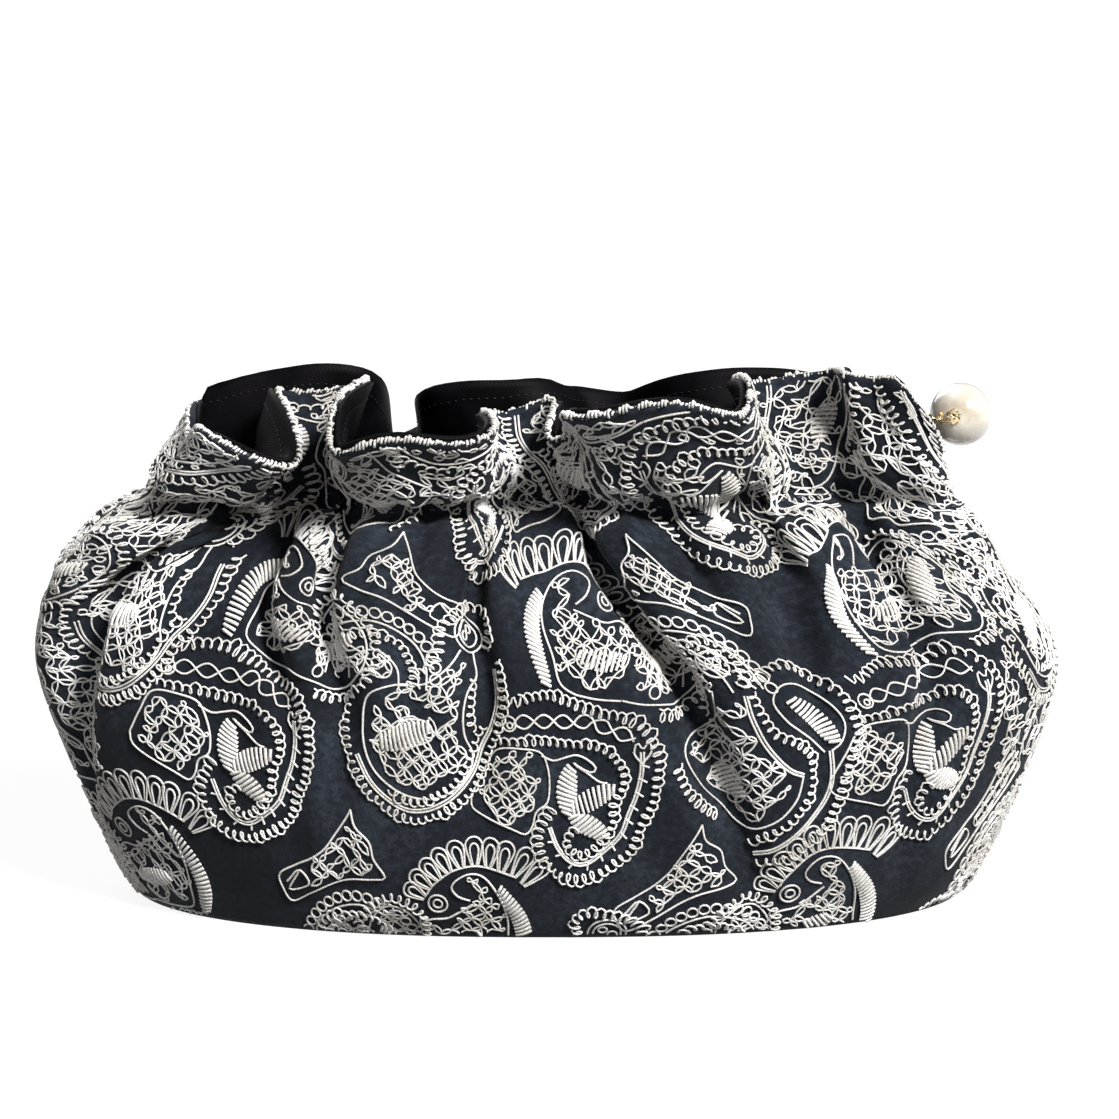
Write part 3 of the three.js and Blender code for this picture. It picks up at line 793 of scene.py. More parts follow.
fanPaisley = [
    ("leaf", 1.8, 0, [(-12.8, -10.2), (-13.3, -4.2), (-12, 1.4), (-7.6, 8.6)]),
    ("line", 0, 0, [(3.2, -13.8), (-3.7, -12.5), (-9.3, -10), (-9.6, -4.2), (-9.3, 1.4), (-7.3, 6.9),
        (-3.7, 11.3), (-0.3, 11.6), (3, 8.6), (1.7, 6.4), (-1, 5.3)]),
    ("line", 0, 0, [(-1.7, 4.4), (1.7, 1.9), (4, 0.3), (7.6, -0.3), (10, -2.2), (10.3, -3.3)]),
    ("ring", 2.1, 0, [(6, 4.2)]),
    ("ring", 1.0, 0, [(6, 4.2)]),
    ("leaf", 2.0, 0, [(-3.7, -4.2), (0.6, -5.9), (5, -7.2)]),
    ("line", 0, 0, [*fanTop, (8.3, 6.4)]),
    ("petals", 7.6, 0, [(-12.6, 10.0), *fanTop, (8.8, 5.4)]),
    ("fill", 0, 0, [(-8.8, -9.4), (-8.8, 1.4), (-6.6, 6.6), (-3.4, 10.4), (0, 10.4), (-1.6, 5), (2.4, 0.6),
        (6, -1.6), (9.4, -4), (3, -13)]),
    ("line", 0, 0, [(3.4, -13.8), (8.3, -15.8), *fanLobe, (10.0, -2.8)]),
    ("fill", 0, 0, [(6, -13), (14, -15.6), (18.4, -13), (20.2, -7), (19, -1.4), (16, 1), (12.6, 0),
        (11.4, -4), (7, -9)]),
    ("loops", 0.95, -1.9, [(10.0, -16.2), *fanLobe, (10.4, -5), (9.6, -9)]),
    ("leaf", 1.8, 0, [(11.6, -10.2), (15.2, -7.6), (18.6, -4.6)]),
]
bulbEdge = [(17.6, 8.7), (16.6, 3.5), (14.9, 0), (13.1, -5.2), (10, -9.7), (6.9, -12.5), (2.4, -14.8),
        (-1.7, -15.2), (-5.9, -13.5), (-9.7, -10.3), (-12.6, -5.0)]
bulbPaisley = [
    ("line", 0, 0, [(-0.7, 11.4), (-5.2, 11), (-10.4, 8), (-11, 1.7), (-10.7, -3.8), (-8.7, -8),
        (-4.2, -11.4), (0.3, -12.5), (5.2, -11.8), (9.3, -9.3), (12.1, -5.5), (12.8, -2), (11, 1.7),
        (10, 7.3), (10.4, 10.4), (12.8, 14.2), (12.5, 17.3), (12.4, 19)]),
    ("line", 0, 0, [(-5.2, 11), (-0.7, 11.4), (1.4, 12), (5.2, 15.2), (8, 19)]),
    ("ring", 4.0, 0, [(11, 22.8)]),
    ("ring", 2.9, 0, [(11, 22.8)]),
    ("ring", 1.0, 0, [(9.9, 22.2)]),
    ("ring", 0.9, 0, [(11.9, 23.8)]),
    ("loops", 1.25, 0, [(-1.6, 13.2), (2.0, 16.2), (3.3, 20.4), (3.8, 23.5), (6.2, 26.3), (9.3, 28),
        (14.9, 28.7), (17.6, 26.6), (17.3, 23.2), (15.2, 19.4)]),
    ("thick", 0, 0, [(17, 15.6), *bulbEdge]),
    ("loops", 0.95, 1.9, [(17, 17.6), *bulbEdge, (-13.6, 1.0), (-13.2, 7)]),
    ("loops", 0.9, -2.0, [(13.8, 13.6), (13.4, 8.7), (14.6, 3.5)]),
    ("loops", 0.9, -1.7, bulbEdge[1:9]),
    ("leaf", 2.6, 0, [(-6.9, -1.6), (-2.0, 0.2), (3.1, 2.9)]),
    ("line", 0, 0, [(-9.6, -1.6), (-7.0, -1.2), (-4, 1.8), (-1.0, 4.0), (3.4, 3.4), (4.2, 0.6),
        (0.4, -1.6), (-5.2, -2.9), (-9.6, -1.6)]),
    ("fill", 0, 0, [(-10.2, 1.6), (-9.8, 7.4), (-5, 10.2), (1, 11), (6, 14.6), (10.4, 17.2), (9.2, 10),
        (9.6, 4), (11.8, -2.0), (8.6, -8.8), (1, -11.8), (-5, -10.2), (-9.8, -4)]),
]
crestedPaisley = [
    ("ring", 1.3, 0, [(-6.2, 19.6)]),
    ("ring", 2.8, 0, [(-6.2, 19.6)]),
    ("fill", 0, 0, [(-10.2, 19.6), (-8.2, 23.1), (-4.2, 23.1), (-2.2, 19.6), (-4.2, 16.1), (-8.2, 16.1)]),
    ("loops", 1.15, 0, [(-8.6, 14.4), (-10.8, 16.8), (-11.6, 20.4), (-9.6, 23.8), (-6.2, 25.1),
        (-2.8, 23.8), (-0.8, 20.4), (-1.6, 16.8), (-3.4, 14.6)]),
    ("loops", 1.1, 0, [(-14.8, 19.4), (-14.4, 16.2), (-13, 13.6), (-13.4, 10.4), (-14.2, 7.6)]),
    ("line", 0, 0, [(-9.1, 13.9), (-10.3, 10), (-12.1, 6.5), (-15.5, 4.2), (-18.8, 1.9), (-18.6, -0.6),
        (-15.1, -6.2), (-10.6, -10.8), (-7.3, -15), (-4.3, -16.6), (-0.6, -15.4), (1.7, -13.9),
        (4.3, -10.4), (5, -7.7), (5.4, -5.4)]),
    ("thick", 0, 0, [(5.4, -5.4), (2.8, -3.9), (-0.6, 0), (-2.8, 3.9), (-3.9, 8.5), (-3.6, 12.6)]),
    ("fill", 0, 0, [(-9.2, 12.6), (-10.4, 7), (-17.6, 1.2), (-17.4, -1), (-9.6, -10.6), (-4.6, -15.4),
        (1, -13), (4, -7), (1.6, -4.2), (-1.6, 0), (-3.8, 4), (-4.6, 11)]),
    ("leaf", 2.1, 0, [(-11.0, -3.2), (-8.8, -6.2), (-6.4, -9.4)]),
    ("loops", 1.0, 0, [(-2.4, 13.1), (-1.8, 8.2), (0.2, 4), (3.5, 2), (5.6, 0.4), (7.5, -2.6), (7.8, -6.9),
        (7, -10.8), (4.3, -14.6), (0.2, -17.7), (-4.3, -19.3)]),
    ("line", 0, 0, [(10.2, -1.4), (7.4, 1.6), (4.6, 4.2), (2.4, 6.6), (1.2, 10.4), (3.6, 13.2), (6, 13.8),
        (9.6, 12.6), (12.6, 8.8), (14.2, 4.4), (13.4, 0.4), (11.6, -1.2)]),
    ("leaf", 2.0, 0, [(4.9, 10.4), (8.4, 6.4), (12.2, 0.8)]),
    ("thick", 0, 0, [(11.4, -1.2), (11.8, -6.2), (11.4, -9.6), (9.9, -13.1), (7.3, -16.2), (3.5, -19.3),
        (-0.6, -21.6), (-3.9, -22.3)]),
    ("loops", 1.15, 0, [(-0.6, 14.6), (2.8, 16.4), (6.2, 17.7), (11, 16.2), (14, 13.1), (16.2, 9.6),
        (16.6, 5.4), (17, 1.9), (16.2, -2.3), (14.9, -6.9), (14.2, -10.8), (12.9, -14.6), (11, -18.1),
        (8.4, -20.2), (4.7, -22.7), (0.9, -24.1), (-2.8, -24.3)]),
    ("loops", 0.95, 0, [(-20.7, -1.2), (-18.1, -6.9), (-15.1, -10.8), (-11.6, -13.4)]),
]
tieEnd = [
    ("line", 0, 0, [(5.2, 13.6), (4.5, 12.2), (0.9, 6.8), (-1.2, 3.8), (-4.2, 1.2), (-8.2, -1.2),
        (-12.2, -4), (-11.6, -7.0), (-9.6, -10.3), (-4.7, -7.3), (0.5, -4), (5.2, -1.9), (9.9, -0.9),
        (12.9, 0), (10.3, 3.8), (9.4, 7.3), (6.1, 10.1), (5.2, 13.6)]),
    ("line", 0, 0, [(-10.4, -5.4), (-7.2, -2.2), (-5.0, -5.0), (-10.0, -7.4), (-7.2, -2.2)]),
    ("fill", 0, 0, [(-5, -6.4), (-4.2, 0.4), (0.6, 5.4), (4.8, 12), (8.6, 7), (11.4, 0.6), (4, -1.6)]),
]
halfSun = [
    ("rings", 1.15, 0, [(-13.4, -3.0), (-12.6, 3.4), (-9.2, 9.2), (-4.6, 12.2), (0, 13.2), (4.6, 12.2),
        (9.2, 9.2), (12.6, 3.4), (13.4, -3)]),
    ("line", 0, 0, [(-11.6, -3.0), (-10.8, 3.0), (-7.8, 7.8), (0, 11.2), (7.8, 7.8), (10.8, 3.0),
        (11.6, -3)]),
    ("loops", 0.95, 0, [(-8.8, -3), (-7.6, 3.0), (-4.6, 7.0), (0, 8.5), (4.6, 7.0), (7.6, 3.0),
        (8.8, -3)]),
    ("line", 0, 0, [(-5.6, -3), (-4.6, 1.4), (0, 4.7), (4.6, 1.4), (5.6, -3)]),
    ("fill", 0, 0, [(-5, -3), (-3, 2.6), (0, 4), (3, 2.6), (5, -3)]),
]
# the motifs of a cell and their places from its first one, by the kind of column
swirls = [(curledPaisley, 0.0, 0.0), (fanPaisley, 6.0, 32.5)]
lowMotifs = [(tieEnd, 19.5, -22.8), (halfSun, 27.0, -41.5)]
motifPlaces = {
    "even": [*swirls, (bulbPaisley, -36.0, 8.0), *lowMotifs],
    "odd": [*swirls, (crestedPaisley, -35.0, 5.0), *lowMotifs],
    "shoulder": [*swirls, (bulbPaisley, -31.0, 19.0), *lowMotifs],
    "neck": [*swirls, (crestedPaisley, -35.0, 5.0)],
}
layerNames = {
    "line": "outline_stitches",
    "loop": "loop_stitches",
    "satin": "satin_leaves",
    "fill": "clover_stitches",
}


def sideways(path):
    ahead = np.gradient(path, axis=0)
    ahead = ahead / np.maximum(np.linalg.norm(ahead, axis=1), 1e-9)[:, None]
    return ahead, np.stack([-ahead[:, 1], ahead[:, 0]], axis=1)


def lifted(path, lift=None):
    return np.column_stack([path, np.full(len(path), threadWork["lift"]) if lift is None else lift])


def lineStroke(path, size, draw):
    return [lifted(evenly(path, threadWork["lineStep"]))]


def loopStroke(path, size, draw):
    pitch, steps = threadWork["loopPitch"], threadWork["loopSteps"]
    line = evenly(path, pitch / steps)
    ahead, aside = sideways(line)
    phase = np.arange(len(line)) * 2 * np.pi / steps
    knots = np.arange(0, len(line) + 2 * steps, steps)
    stray = threadWork["loopStray"]
    uneven = np.interp(np.arange(len(line)), knots, draw.uniform(*threadWork["loopUneven"], len(knots)))
    offset = np.interp(np.arange(len(line)), knots, draw.uniform(-stray, stray, len(knots)))
    slide = threadWork["loopAlong"] * (np.sin(phase) * uneven)[:, None]
    swing = (size * np.cos(phase) * uneven + offset)[:, None]
    lift = threadWork["lift"] + threadWork["loopRise"] * (1 + np.sin(phase))
    return [lifted(line + ahead * slide + aside * swing, lift)]


def chainStroke(path, size, draw):
    chain = threadWork["chain"]
    line = evenly(path, chain["eye"] / chain["steps"])
    aside = sideways(line)[1]
    swing = size * np.sin(np.arange(len(line)) * np.pi / chain["steps"])[:, None]
    return [lifted(line + aside * swing), lifted(line - aside * swing * chain["second"])]


def thickStroke(path, size, draw):
    line = evenly(path, threadWork["thick"]["step"])
    aside = sideways(line)[1] * threadWork["thick"]["half"]
    return [lifted(line + aside), lifted(line - aside)]


def tickStroke(path, size, draw):
    # a thick line with ticks that stand out of it
    tick = threadWork["tick"]
    line = evenly(path, tick["pitch"])
    ahead, aside = sideways(line)
    feet = line - aside * size * tick["inner"] - ahead * tick["back"]
    tips = line + aside * size * tick["outer"] + ahead * tick["ahead"]
    ticks = np.stack([feet, tips], axis=1)[1:-1]
    return [*thickStroke(path, size, draw), *[lifted(evenly(way, tick["step"])) for way in ticks]]


def ringStroke(path, size, draw):
    ring = threadWork["ring"]
    angle = np.linspace(0, 2 * np.pi, ring["fewest"] + int(ring["perSize"] * size))
    return [lifted(path[0] + size * np.stack([np.cos(angle), np.sin(angle)], axis=1))]


def ringRowStroke(path, size, draw):
    centres = evenly(path, size * threadWork["ring"]["apart"])
    return [s for c in centres for s in ringStroke(c[None, :], size, draw)]


def leafStroke(path, size, draw):
    # satin bars laid side by side across an axis, raised in the middle
    leaf = threadWork["leaf"]
    line = evenly(path, leaf["pitch"])
    ahead, aside = sideways(line)
    share = np.linspace(leaf["margin"], 1 - leaf["margin"], len(line))
    half = size * np.sin(np.pi * share ** leaf["lean"]) ** leaf["blunt"]
    across = np.linspace(-1, 1, leaf["steps"])[:, None]
    rise = threadWork["lift"] + leaf["rise"] * (1 - across[:, 0] ** 2)
    bars = []
    for middle, forward, out, reach in zip(line, ahead, aside, half):
        bars.append(lifted(middle + out * across * reach + forward * leaf["slant"] * across, rise))
    return bars


def petalStroke(path, size, draw):
    # double outlined petals that stand in a fan on a curve, shorter towards its end
    petal = threadWork["petal"]
    places = evenly(path, petal["pitch"])
    leftSide = [(-0.35, 0), (-0.8, 0.45), (-1, 0.78), (-0.6, 0.97)]
    outline = smoothPath([*leftSide, (0, 1.03), *[(-x, y) for x, y in leftSide[::-1]]], 2)
    strands = []
    for i, (foot, out) in enumerate(zip(places, sideways(places)[1])):
        length = size * (1 - petal["shorter"] * i / len(places))
        side = np.array([-out[1], out[0]])
        for wide, tall in petal["outlines"]:
            across, up = outline[:, :1] * wide * side, outline[:, 1:] * length * tall * out
            strands.append(lifted(foot + across + up))
    return strands


def inside(shape, places):
    hit = np.zeros(len(places), bool)
    for (x1, y1), (x2, y2) in zip(shape, np.roll(shape, -1, axis=0)):
        crosses = (y1 > places[:, 1]) != (y2 > places[:, 1])
        with np.errstate(divide="ignore", invalid="ignore"):
            hit ^= crosses & (places[:, 0] < (x2 - x1) * (places[:, 1] - y1) / (y2 - y1) + x1)
    return hit


def fillStroke(path, size, draw):
    # a net of pointed loops between places on a turned grid, inside the path
    net = threadWork["net"]
    middle = (path.min(axis=0) + path.max(axis=0)) / 2
    turn = draw.uniform(*net["turn"])
    spin = np.array([[math.cos(turn), math.sin(turn)], [-math.sin(turn), math.cos(turn)]])
    reach = np.arange(-net["reach"], net["reach"] + 1)
    nodes = np.stack(np.meshgrid(reach, reach), axis=2) * net["pitch"]
    nodes = nodes @ spin + middle + draw.uniform(-net["jitter"], net["jitter"], nodes.shape)
    kept = inside(path, nodes.reshape(-1, 2)).reshape(nodes.shape[:2])
    return netStrands(nodes, kept, draw)


def netStrands(nodes, kept, draw):
    # uneven double loops from each kept place to its neighbours, cut short at the edge of the net
    net = threadWork["net"]
    t = np.linspace(0, 1, net["steps"])[:, None]
    strands = []
    for j, i in np.argwhere(kept[:-1, :-1]):
        for other in ((j, i + 1), (j + 1, i)):
            chance, share = (net["whole"], 1) if kept[other] else (net["cut"], net["cutShare"])
            if draw.uniform() > chance:
                continue
            step = nodes[other] - nodes[j, i]
            across = np.array([-step[1], step[0]]) * np.sin(np.pi * t)
            line = nodes[j, i] + step * t * share + across * draw.uniform(-net["bow"], net["bow"])
            strands += [lifted(line + across * draw.uniform(*net["wide"])),
                        lifted(line - across * draw.uniform(*net["wide"]))]
    return strands


strokes = {
    "line": ("line", lineStroke), "thick": ("line", thickStroke), "ticks": ("line", tickStroke),
    "chain": ("line", chainStroke), "ring": ("line", ringStroke), "rings": ("line", ringRowStroke),
    "loops": ("loop", loopStroke), "leaf": ("satin", leafStroke), "petals": ("line", petalStroke),
    "fill": ("fill", fillStroke),
}
straightKinds = ("fill", "ring")


def motifStrands(motif, draw):
    worked = {layer: [] for layer in layerNames}
    for kind, size, offset, points in motif:
        layer, stroke = strokes[kind]
        path = np.array(points, float) if kind in straightKinds else smoothPath(points, 12)
        if offset:
            path = path + sideways(path)[1] * offset
        worked[layer] += stroke(path, size, draw)
    return worked


def groundNet(worked, draw):
    # a net of loops over the frill and the ends, wherever no motif lies
    g = threadWork["ground"]
    size = np.array([clothTop, 2 * panelHalf]) / g["cell"] + 4
    taken = np.zeros(size.astype(int), bool)

    def cells(places):
        spots = (places[..., 1::-1] + (0, panelHalf)) / g["cell"] + 2
        spots = np.clip(spots.astype(int), 1, np.array(taken.shape) - 2)
        return spots[..., 0], spots[..., 1]

    for strand in worked:
        taken[cells(strand)] = True
    net = threadWork["net"]
    across = np.arange(-panelHalf, panelHalf, net["pitch"])
    up = np.arange(g["lowest"], clothTop, net["pitch"])
    nodes = np.stack(np.meshgrid(across, up), axis=2)
    nodes[::2, :, 0] += net["pitch"] / 2
    nodes = nodes + draw.uniform(-net["jitter"], net["jitter"], nodes.shape)
    wanted = (nodes[:, :, 1] > shirredHeight) | (np.abs(nodes[:, :, 0]) > g["ends"])
    return netStrands(nodes, wanted & ~taken[cells(nodes)], draw)


def stretches(strand, keep, shortest):
    # the lengths of a strand where keep holds
    cuts = np.flatnonzero(np.diff(keep.astype(int))) + 1
    parts = zip(np.split(strand, cuts), np.split(keep, cuts))
    return [part for part, kept in parts if kept[0] and len(part) >= shortest]


def clipped(strand, panel):
    # the lengths of a strand that lie on the panel
    clear = threadWork["clear"]
    across, up = strand[:, 0], strand[:, 1]
    keep = (np.abs(across) < panel.cloth[-1] - clear["seam"]) & (up > clear["base"])
    return stretches(strand, keep & (up < clothTop - clear["rim"]), threadWork["shortest"])


def drawnPlaces(strand):
    # a strand where the drawn cloth takes it
    at, along, up, above = np.array(threadWork["drawn"]).T
    low, high = threadWork["neck"]
    moved = strand.copy()
    moved[:, 0] += np.interp(strand[:, 0], at, along)
    moved[:, 0] += np.interp(strand[:, 0], at, above) * smoothStep((strand[:, 1] - low) / (high - low))
    moved[:, 1] += np.interp(strand[:, 0], at, up)
    return moved


def workPanel(side):
    panel = panels[side]
    draw = np.random.default_rng(threadWork["seed"] + (side == "back"))
    shift = threadWork["backShift"] if side == "back" else (0, 0)
    flat = {layer: [] for layer in layerNames}
    beyond = threadWork["beyond"]
    for rowHeight, start, facing, others in threadWork["rows"]:
        for n in threadWork["columns"]:
            for motif, dx, dy in motifPlaces[others.get(n, "odd" if n % 2 else "even")]:
                across = start + shift[0] + n * threadWork["pitch"] + facing * dx
                up = rowHeight + shift[1] + dy
                if abs(across) > panelHalf + beyond or not -beyond < up < clothTop + beyond:
                    continue
                for layer, strands in motifStrands(motif, draw).items():
                    for strand in strands:
                        moved = drawnPlaces(strand * (facing, 1, 1) + (across, up, 0))
                        flat[layer] += clipped(moved, panel)
    everything = [strand for strands in flat.values() for strand in strands]
    for strand in groundNet(everything, draw):
        flat["fill"] += clipped(strand, panel)
    return {layer: [panel.lift(*strand.T) for strand in strands] for layer, strands in flat.items()}


# Node trees that turn paths into threads and rows of stitches
def newTree(name, inputs):
    tree = bpy.data.node_groups.new(name, "GeometryNodeTree")
    tree.interface.new_socket("Paths", in_out="INPUT", socket_type="NodeSocketGeometry")
    for label, kind in inputs:
        tree.interface.new_socket(label, in_out="INPUT", socket_type=f"NodeSocket{kind}")
    tree.interface.new_socket("Threads", in_out="OUTPUT", socket_type="NodeSocketGeometry")
    return tree, tree.nodes.new("NodeGroupInput"), tree.nodes.new("NodeGroupOutput")


def addNode(tree, kind, settings=None, **links):
    made = tree.nodes.new(kind)
    for key, value in (settings or {}).items():
        setattr(made, key, value)
    for label, value in links.items():
        socket = made.inputs[label.replace("_", " ")]
        if hasattr(value, "links"):
            tree.links.new(value, socket)
        else:
            socket.default_value = value
    return made.outputs


def endTree(tree, end, geometry, material):
    smooth = addNode(tree, "GeometryNodeSetShadeSmooth", Geometry=geometry)
    real = addNode(tree, "GeometryNodeRealizeInstances", Geometry=smooth[0])
    dyed = addNode(tree, "GeometryNodeSetMaterial", Geometry=real[0], Material=material)
    tree.links.new(dyed[0], end.inputs[0])
    return tree


def makeThreadTree():
    labels = [("Radius", "Float"), ("Sides", "Int"), ("Thread", "Material")]
    tree, start, end = newTree("threadTubes", labels)
    curve = addNode(tree, "GeometryNodeMeshToCurve", Mesh=start.outputs["Paths"])
    ring = addNode(tree, "GeometryNodeCurvePrimitiveCircle", Resolution=start.outputs["Sides"],
                   Radius=start.outputs["Radius"])
    tube = addNode(tree, "GeometryNodeCurveToMesh", Curve=curve[0], Profile_Curve=ring[0], Fill_Caps=True)
    return endTree(tree, end, tube[0], start.outputs["Thread"])


def makeStitchTree():
    labels = [("Pitch", "Float"), ("Length", "Float"), ("Radius", "Float"), ("Thread", "Material")]
    tree, start, end = newTree("stitchRow", labels)
    curve = addNode(tree, "GeometryNodeMeshToCurve", Mesh=start.outputs["Paths"])
    spots = addNode(tree, "GeometryNodeCurveToPoints", {"mode": "LENGTH"}, Curve=curve[0],
                    Length=start.outputs["Pitch"])
    turn = addNode(tree, "FunctionNodeAlignRotationToVector", {"axis": "X"}, Vector=spots["Tangent"])
    bead = addNode(tree, "GeometryNodeMeshUVSphere", Segments=6, Rings=5, Radius=1.0)
    size = addNode(tree, "ShaderNodeCombineXYZ", X=start.outputs["Length"], Y=start.outputs["Radius"],
                   Z=start.outputs["Radius"])
    row = addNode(tree, "GeometryNodeInstanceOnPoints", Points=spots["Points"], Instance=bead[0],
                  Rotation=turn[0], Scale=size[0])
    return endTree(tree, end, row[0], start.outputs["Thread"])


def growOnPaths(name, tree, strands, material, values):
    # run a tree over paths in millimetres and keep the result as a plain mesh
    points = np.vstack(strands) * mm
    ends = np.cumsum([len(s) for s in strands])
    edges = np.column_stack([np.arange(len(points) - 1), np.arange(1, len(points))])
    edges = np.delete(edges, ends[:-1] - 1, axis=0)
    paths = bpy.data.meshes.new(f"{name}Paths")
    paths.from_pydata(points.tolist(), edges.tolist(), [])
    piece = addToScene(name, paths)
    modifier = piece.modifiers.new("grow", "NODES")
    modifier.node_group = tree
    values = {**values, "Thread": material}
    for item in tree.interface.items_tree:
        if item.in_out == "INPUT" and item.name in values:
            modifier[item.identifier] = values[item.name]
    ready = piece.evaluated_get(bpy.context.evaluated_depsgraph_get())
    mesh = bpy.data.meshes.new_from_object(ready)
    piece.modifiers.remove(modifier)
    mesh.name = name
    piece.data = mesh
    bpy.data.meshes.remove(paths)
    return piece


threadTree = makeThreadTree()
stitchTree = makeStitchTree()
threadPieces = {"front": [], "back": []}
for side in panels:
    for layer, strands in workPanel(side).items():
        values = {"Radius": threadWork[f"{layer}Radius"] * mm, "Sides": threadWork["sides"]}
        piece = growOnPaths(f"{side}_{layerNames[layer]}", threadTree, strands, finishes["thread"], values)
        threadPieces[side].append(piece)
        triangles = sum(len(face.vertices) - 2 for face in piece.data.polygons)
        print(piece.name, len(strands), "strands", triangles, "triangles")

# The lining hangs inside the outer cloth and closes over its floor
liningCloth = {
    "gap": 0.4,
    "wall": 1.0,
    "lowest": 11.0,
    "columnStep": 2,
    "floorIn": (3.2, 4.7),  # how far the floor's edge is set in, outside and inside
    "overBack": 0.9,  # how far it rises over the back panel's edge
}
baseCloth = {"rings": 10, "innermost": 0.04, "endShare": 0.45}
liningOuter = pouchCloth["wall"] + liningCloth["gap"]
liningInner = liningOuter + liningCloth["wall"]


def baseRing(depth, z):
    # the base edge's plan set in by a depth
    edge = np.vstack([panel.face[0, :-1] for panel in panels.values()])[:: liningCloth["columnStep"]]
    share = 1 - depth / np.hypot(edge[:, 0] * baseCloth["endShare"], edge[:, 1])
    return np.column_stack([edge[:, 0] * share, edge[:, 1] * share, np.full(len(edge), z)])


def makeLining():
    rows = panels["front"].height > liningCloth["lowest"]
    walls = []
    for inset, floorIn in zip((liningOuter, liningInner), liningCloth["floorIn"]):
        halves = [panel.inset(inset)[rows][:, :-1] for panel in panels.values()]
        halves[1][-1, :, 2] += liningCloth["overBack"]
        ring = np.concatenate(halves, axis=1)[:, :: liningCloth["columnStep"]]
        walls.append(np.concatenate([baseRing(floorIn, inset)[None], ring]))
    height = np.append(0, panels["front"].height[rows])
    around = np.linspace(0, 4 * panelHalf, walls[0].shape[1])
    centres = [(0, 0, liningOuter), (0, 0, liningInner)]
    return wallMesh("lining_cloth", *walls, flatMap(around, height), wrap=True, lowFloor=centres)


def makeBase():
    # a flat oval of the same cloth under the pouch, as rings from its middle out and back
    shares = np.linspace(1, baseCloth["innermost"], baseCloth["rings"])
    low, high = (np.array([baseRing(liningOuter, z) * (share, share, 1) for share in shares])
                 for z in (0, pouchCloth["wall"]))
    rows = np.concatenate([low[::-1], high])
    count = rows.shape[1]
    points = np.vstack([rows.reshape(-1, 3), [(0, 0, 0), (0, 0, pouchCloth["wall"])]])
    polygons = gridFaces(len(rows), count, 0, True, True).tolist()
    polygons += closingFans(len(points) - 2, (len(rows) - 1) * count, count)
    return clothMesh("base_cloth", points, polygons, points[:, :2])


lining = addObject(makeLining(), finishes["lining"])
base = addObject(makeBase(), finishes["cotton"])
print("lining and base ready")

# Edges: white overcast stitches on the rims, the gathering thread and the lining's top stitches
edgeWork = {
    "pitch": 0.8,
    "turnSteps": 6,
    "coil": (0.45, 0.36),  # out of the cloth and up
    "radius": 0.3,
    "sides": 5,
    "uneven": (0.1, 2.0),
    "clumpTurns": 0.9,
    "bob": (-0.55, 0.55),
    "seed": 5,
    "lower": {"front": 0.0, "back": 1.7},
    "lift": {"front": -pouchCloth["wall"] / 2, "back": 0.1},
    "fromSeam": {"rim": 0.8, "row": 1.5},
    "samples": {"rim": 1600, "row": 700},
    "shirring": {"Pitch": 2.6, "Length": 0.95, "Radius": 0.24},
    "shirringLift": 0.15,
    "topStitch": {"Pitch": 1.7, "Length": 0.4, "Radius": 0.13},
    "topStitchBelow": 4.0,
    "topStitchLift": 0.1,
}


def rowAcross(panel, kind):
    edge = panel.cloth[-1] - edgeWork["fromSeam"][kind]
    return np.linspace(-edge, edge, edgeWork["samples"][kind])


def overcastRim(side):
    # one thread coiled along the rim, tight and loose by turns
    panel, steps = panels[side], edgeWork["turnSteps"]
    top = clothTop - edgeWork["lower"][side]

    def atRim(u, below=0):
        return panel.lift(u, np.full_like(u, top - below), np.full_like(u, edgeWork["lift"][side]))

    u = rowAcross(panel, "rim")
    run = runOf(atRim(u))
    u = np.interp(np.linspace(0, run[-1], int(run[-1] / edgeWork["pitch"] * steps)), run, u)
    middle = atRim(u)
    out = panel.at(panel.out, u, np.full_like(u, top))
    up = middle - atRim(u, 1)
    up = up / np.linalg.norm(up, axis=1)[:, None]
    draw = np.random.default_rng(edgeWork["seed"])
    count = np.arange(len(u))
    turn = count * 2 * np.pi / steps
    knots = np.linspace(0, len(u), int(len(u) / steps / edgeWork["clumpTurns"]))
    uneven = np.interp(count, knots, draw.uniform(*edgeWork["uneven"], len(knots)))
    bob = np.interp(count, knots, draw.uniform(*edgeWork["bob"], len(knots)))
    wide, tall = edgeWork["coil"]
    swing, rise = wide * np.cos(turn) * uneven, tall * np.sin(turn) * uneven + bob
    return middle + out * swing[:, None] + up * rise[:, None]


def rowAlong(side, v, lift):
    u = rowAcross(panels[side], "row")
    return panels[side].lift(u, np.full_like(u, v), np.full_like(u, lift))


def inMetres(sizes):
    return {label: size * mm for label, size in sizes.items()}


shirringPieces = {}
for side in panels:
    values = {"Radius": edgeWork["radius"] * mm, "Sides": edgeWork["sides"]}
    coil = [overcastRim(side)]
    piece = growOnPaths(f"{side}_rim_stitches", threadTree, coil, finishes["thread"], values)
    threadPieces[side].append(piece)
for side in panels:
    path = [rowAlong(side, shirredHeight, edgeWork["shirringLift"])]
    shirringPieces[side] = growOnPaths(f"{side}_shirring_stitches", stitchTree, path,
                                       finishes["gatherThread"], inMetres(edgeWork["shirring"]))
topLine = clothTop - edgeWork["topStitchBelow"]
paths = [rowAlong(side, topLine, -(liningInner + edgeWork["topStitchLift"])) for side in panels]
liningStitches = growOnPaths("lining_top_stitches", stitchTree, paths, finishes["liningThread"],
                             inMetres(edgeWork["topStitch"]))
print("edges stitched")

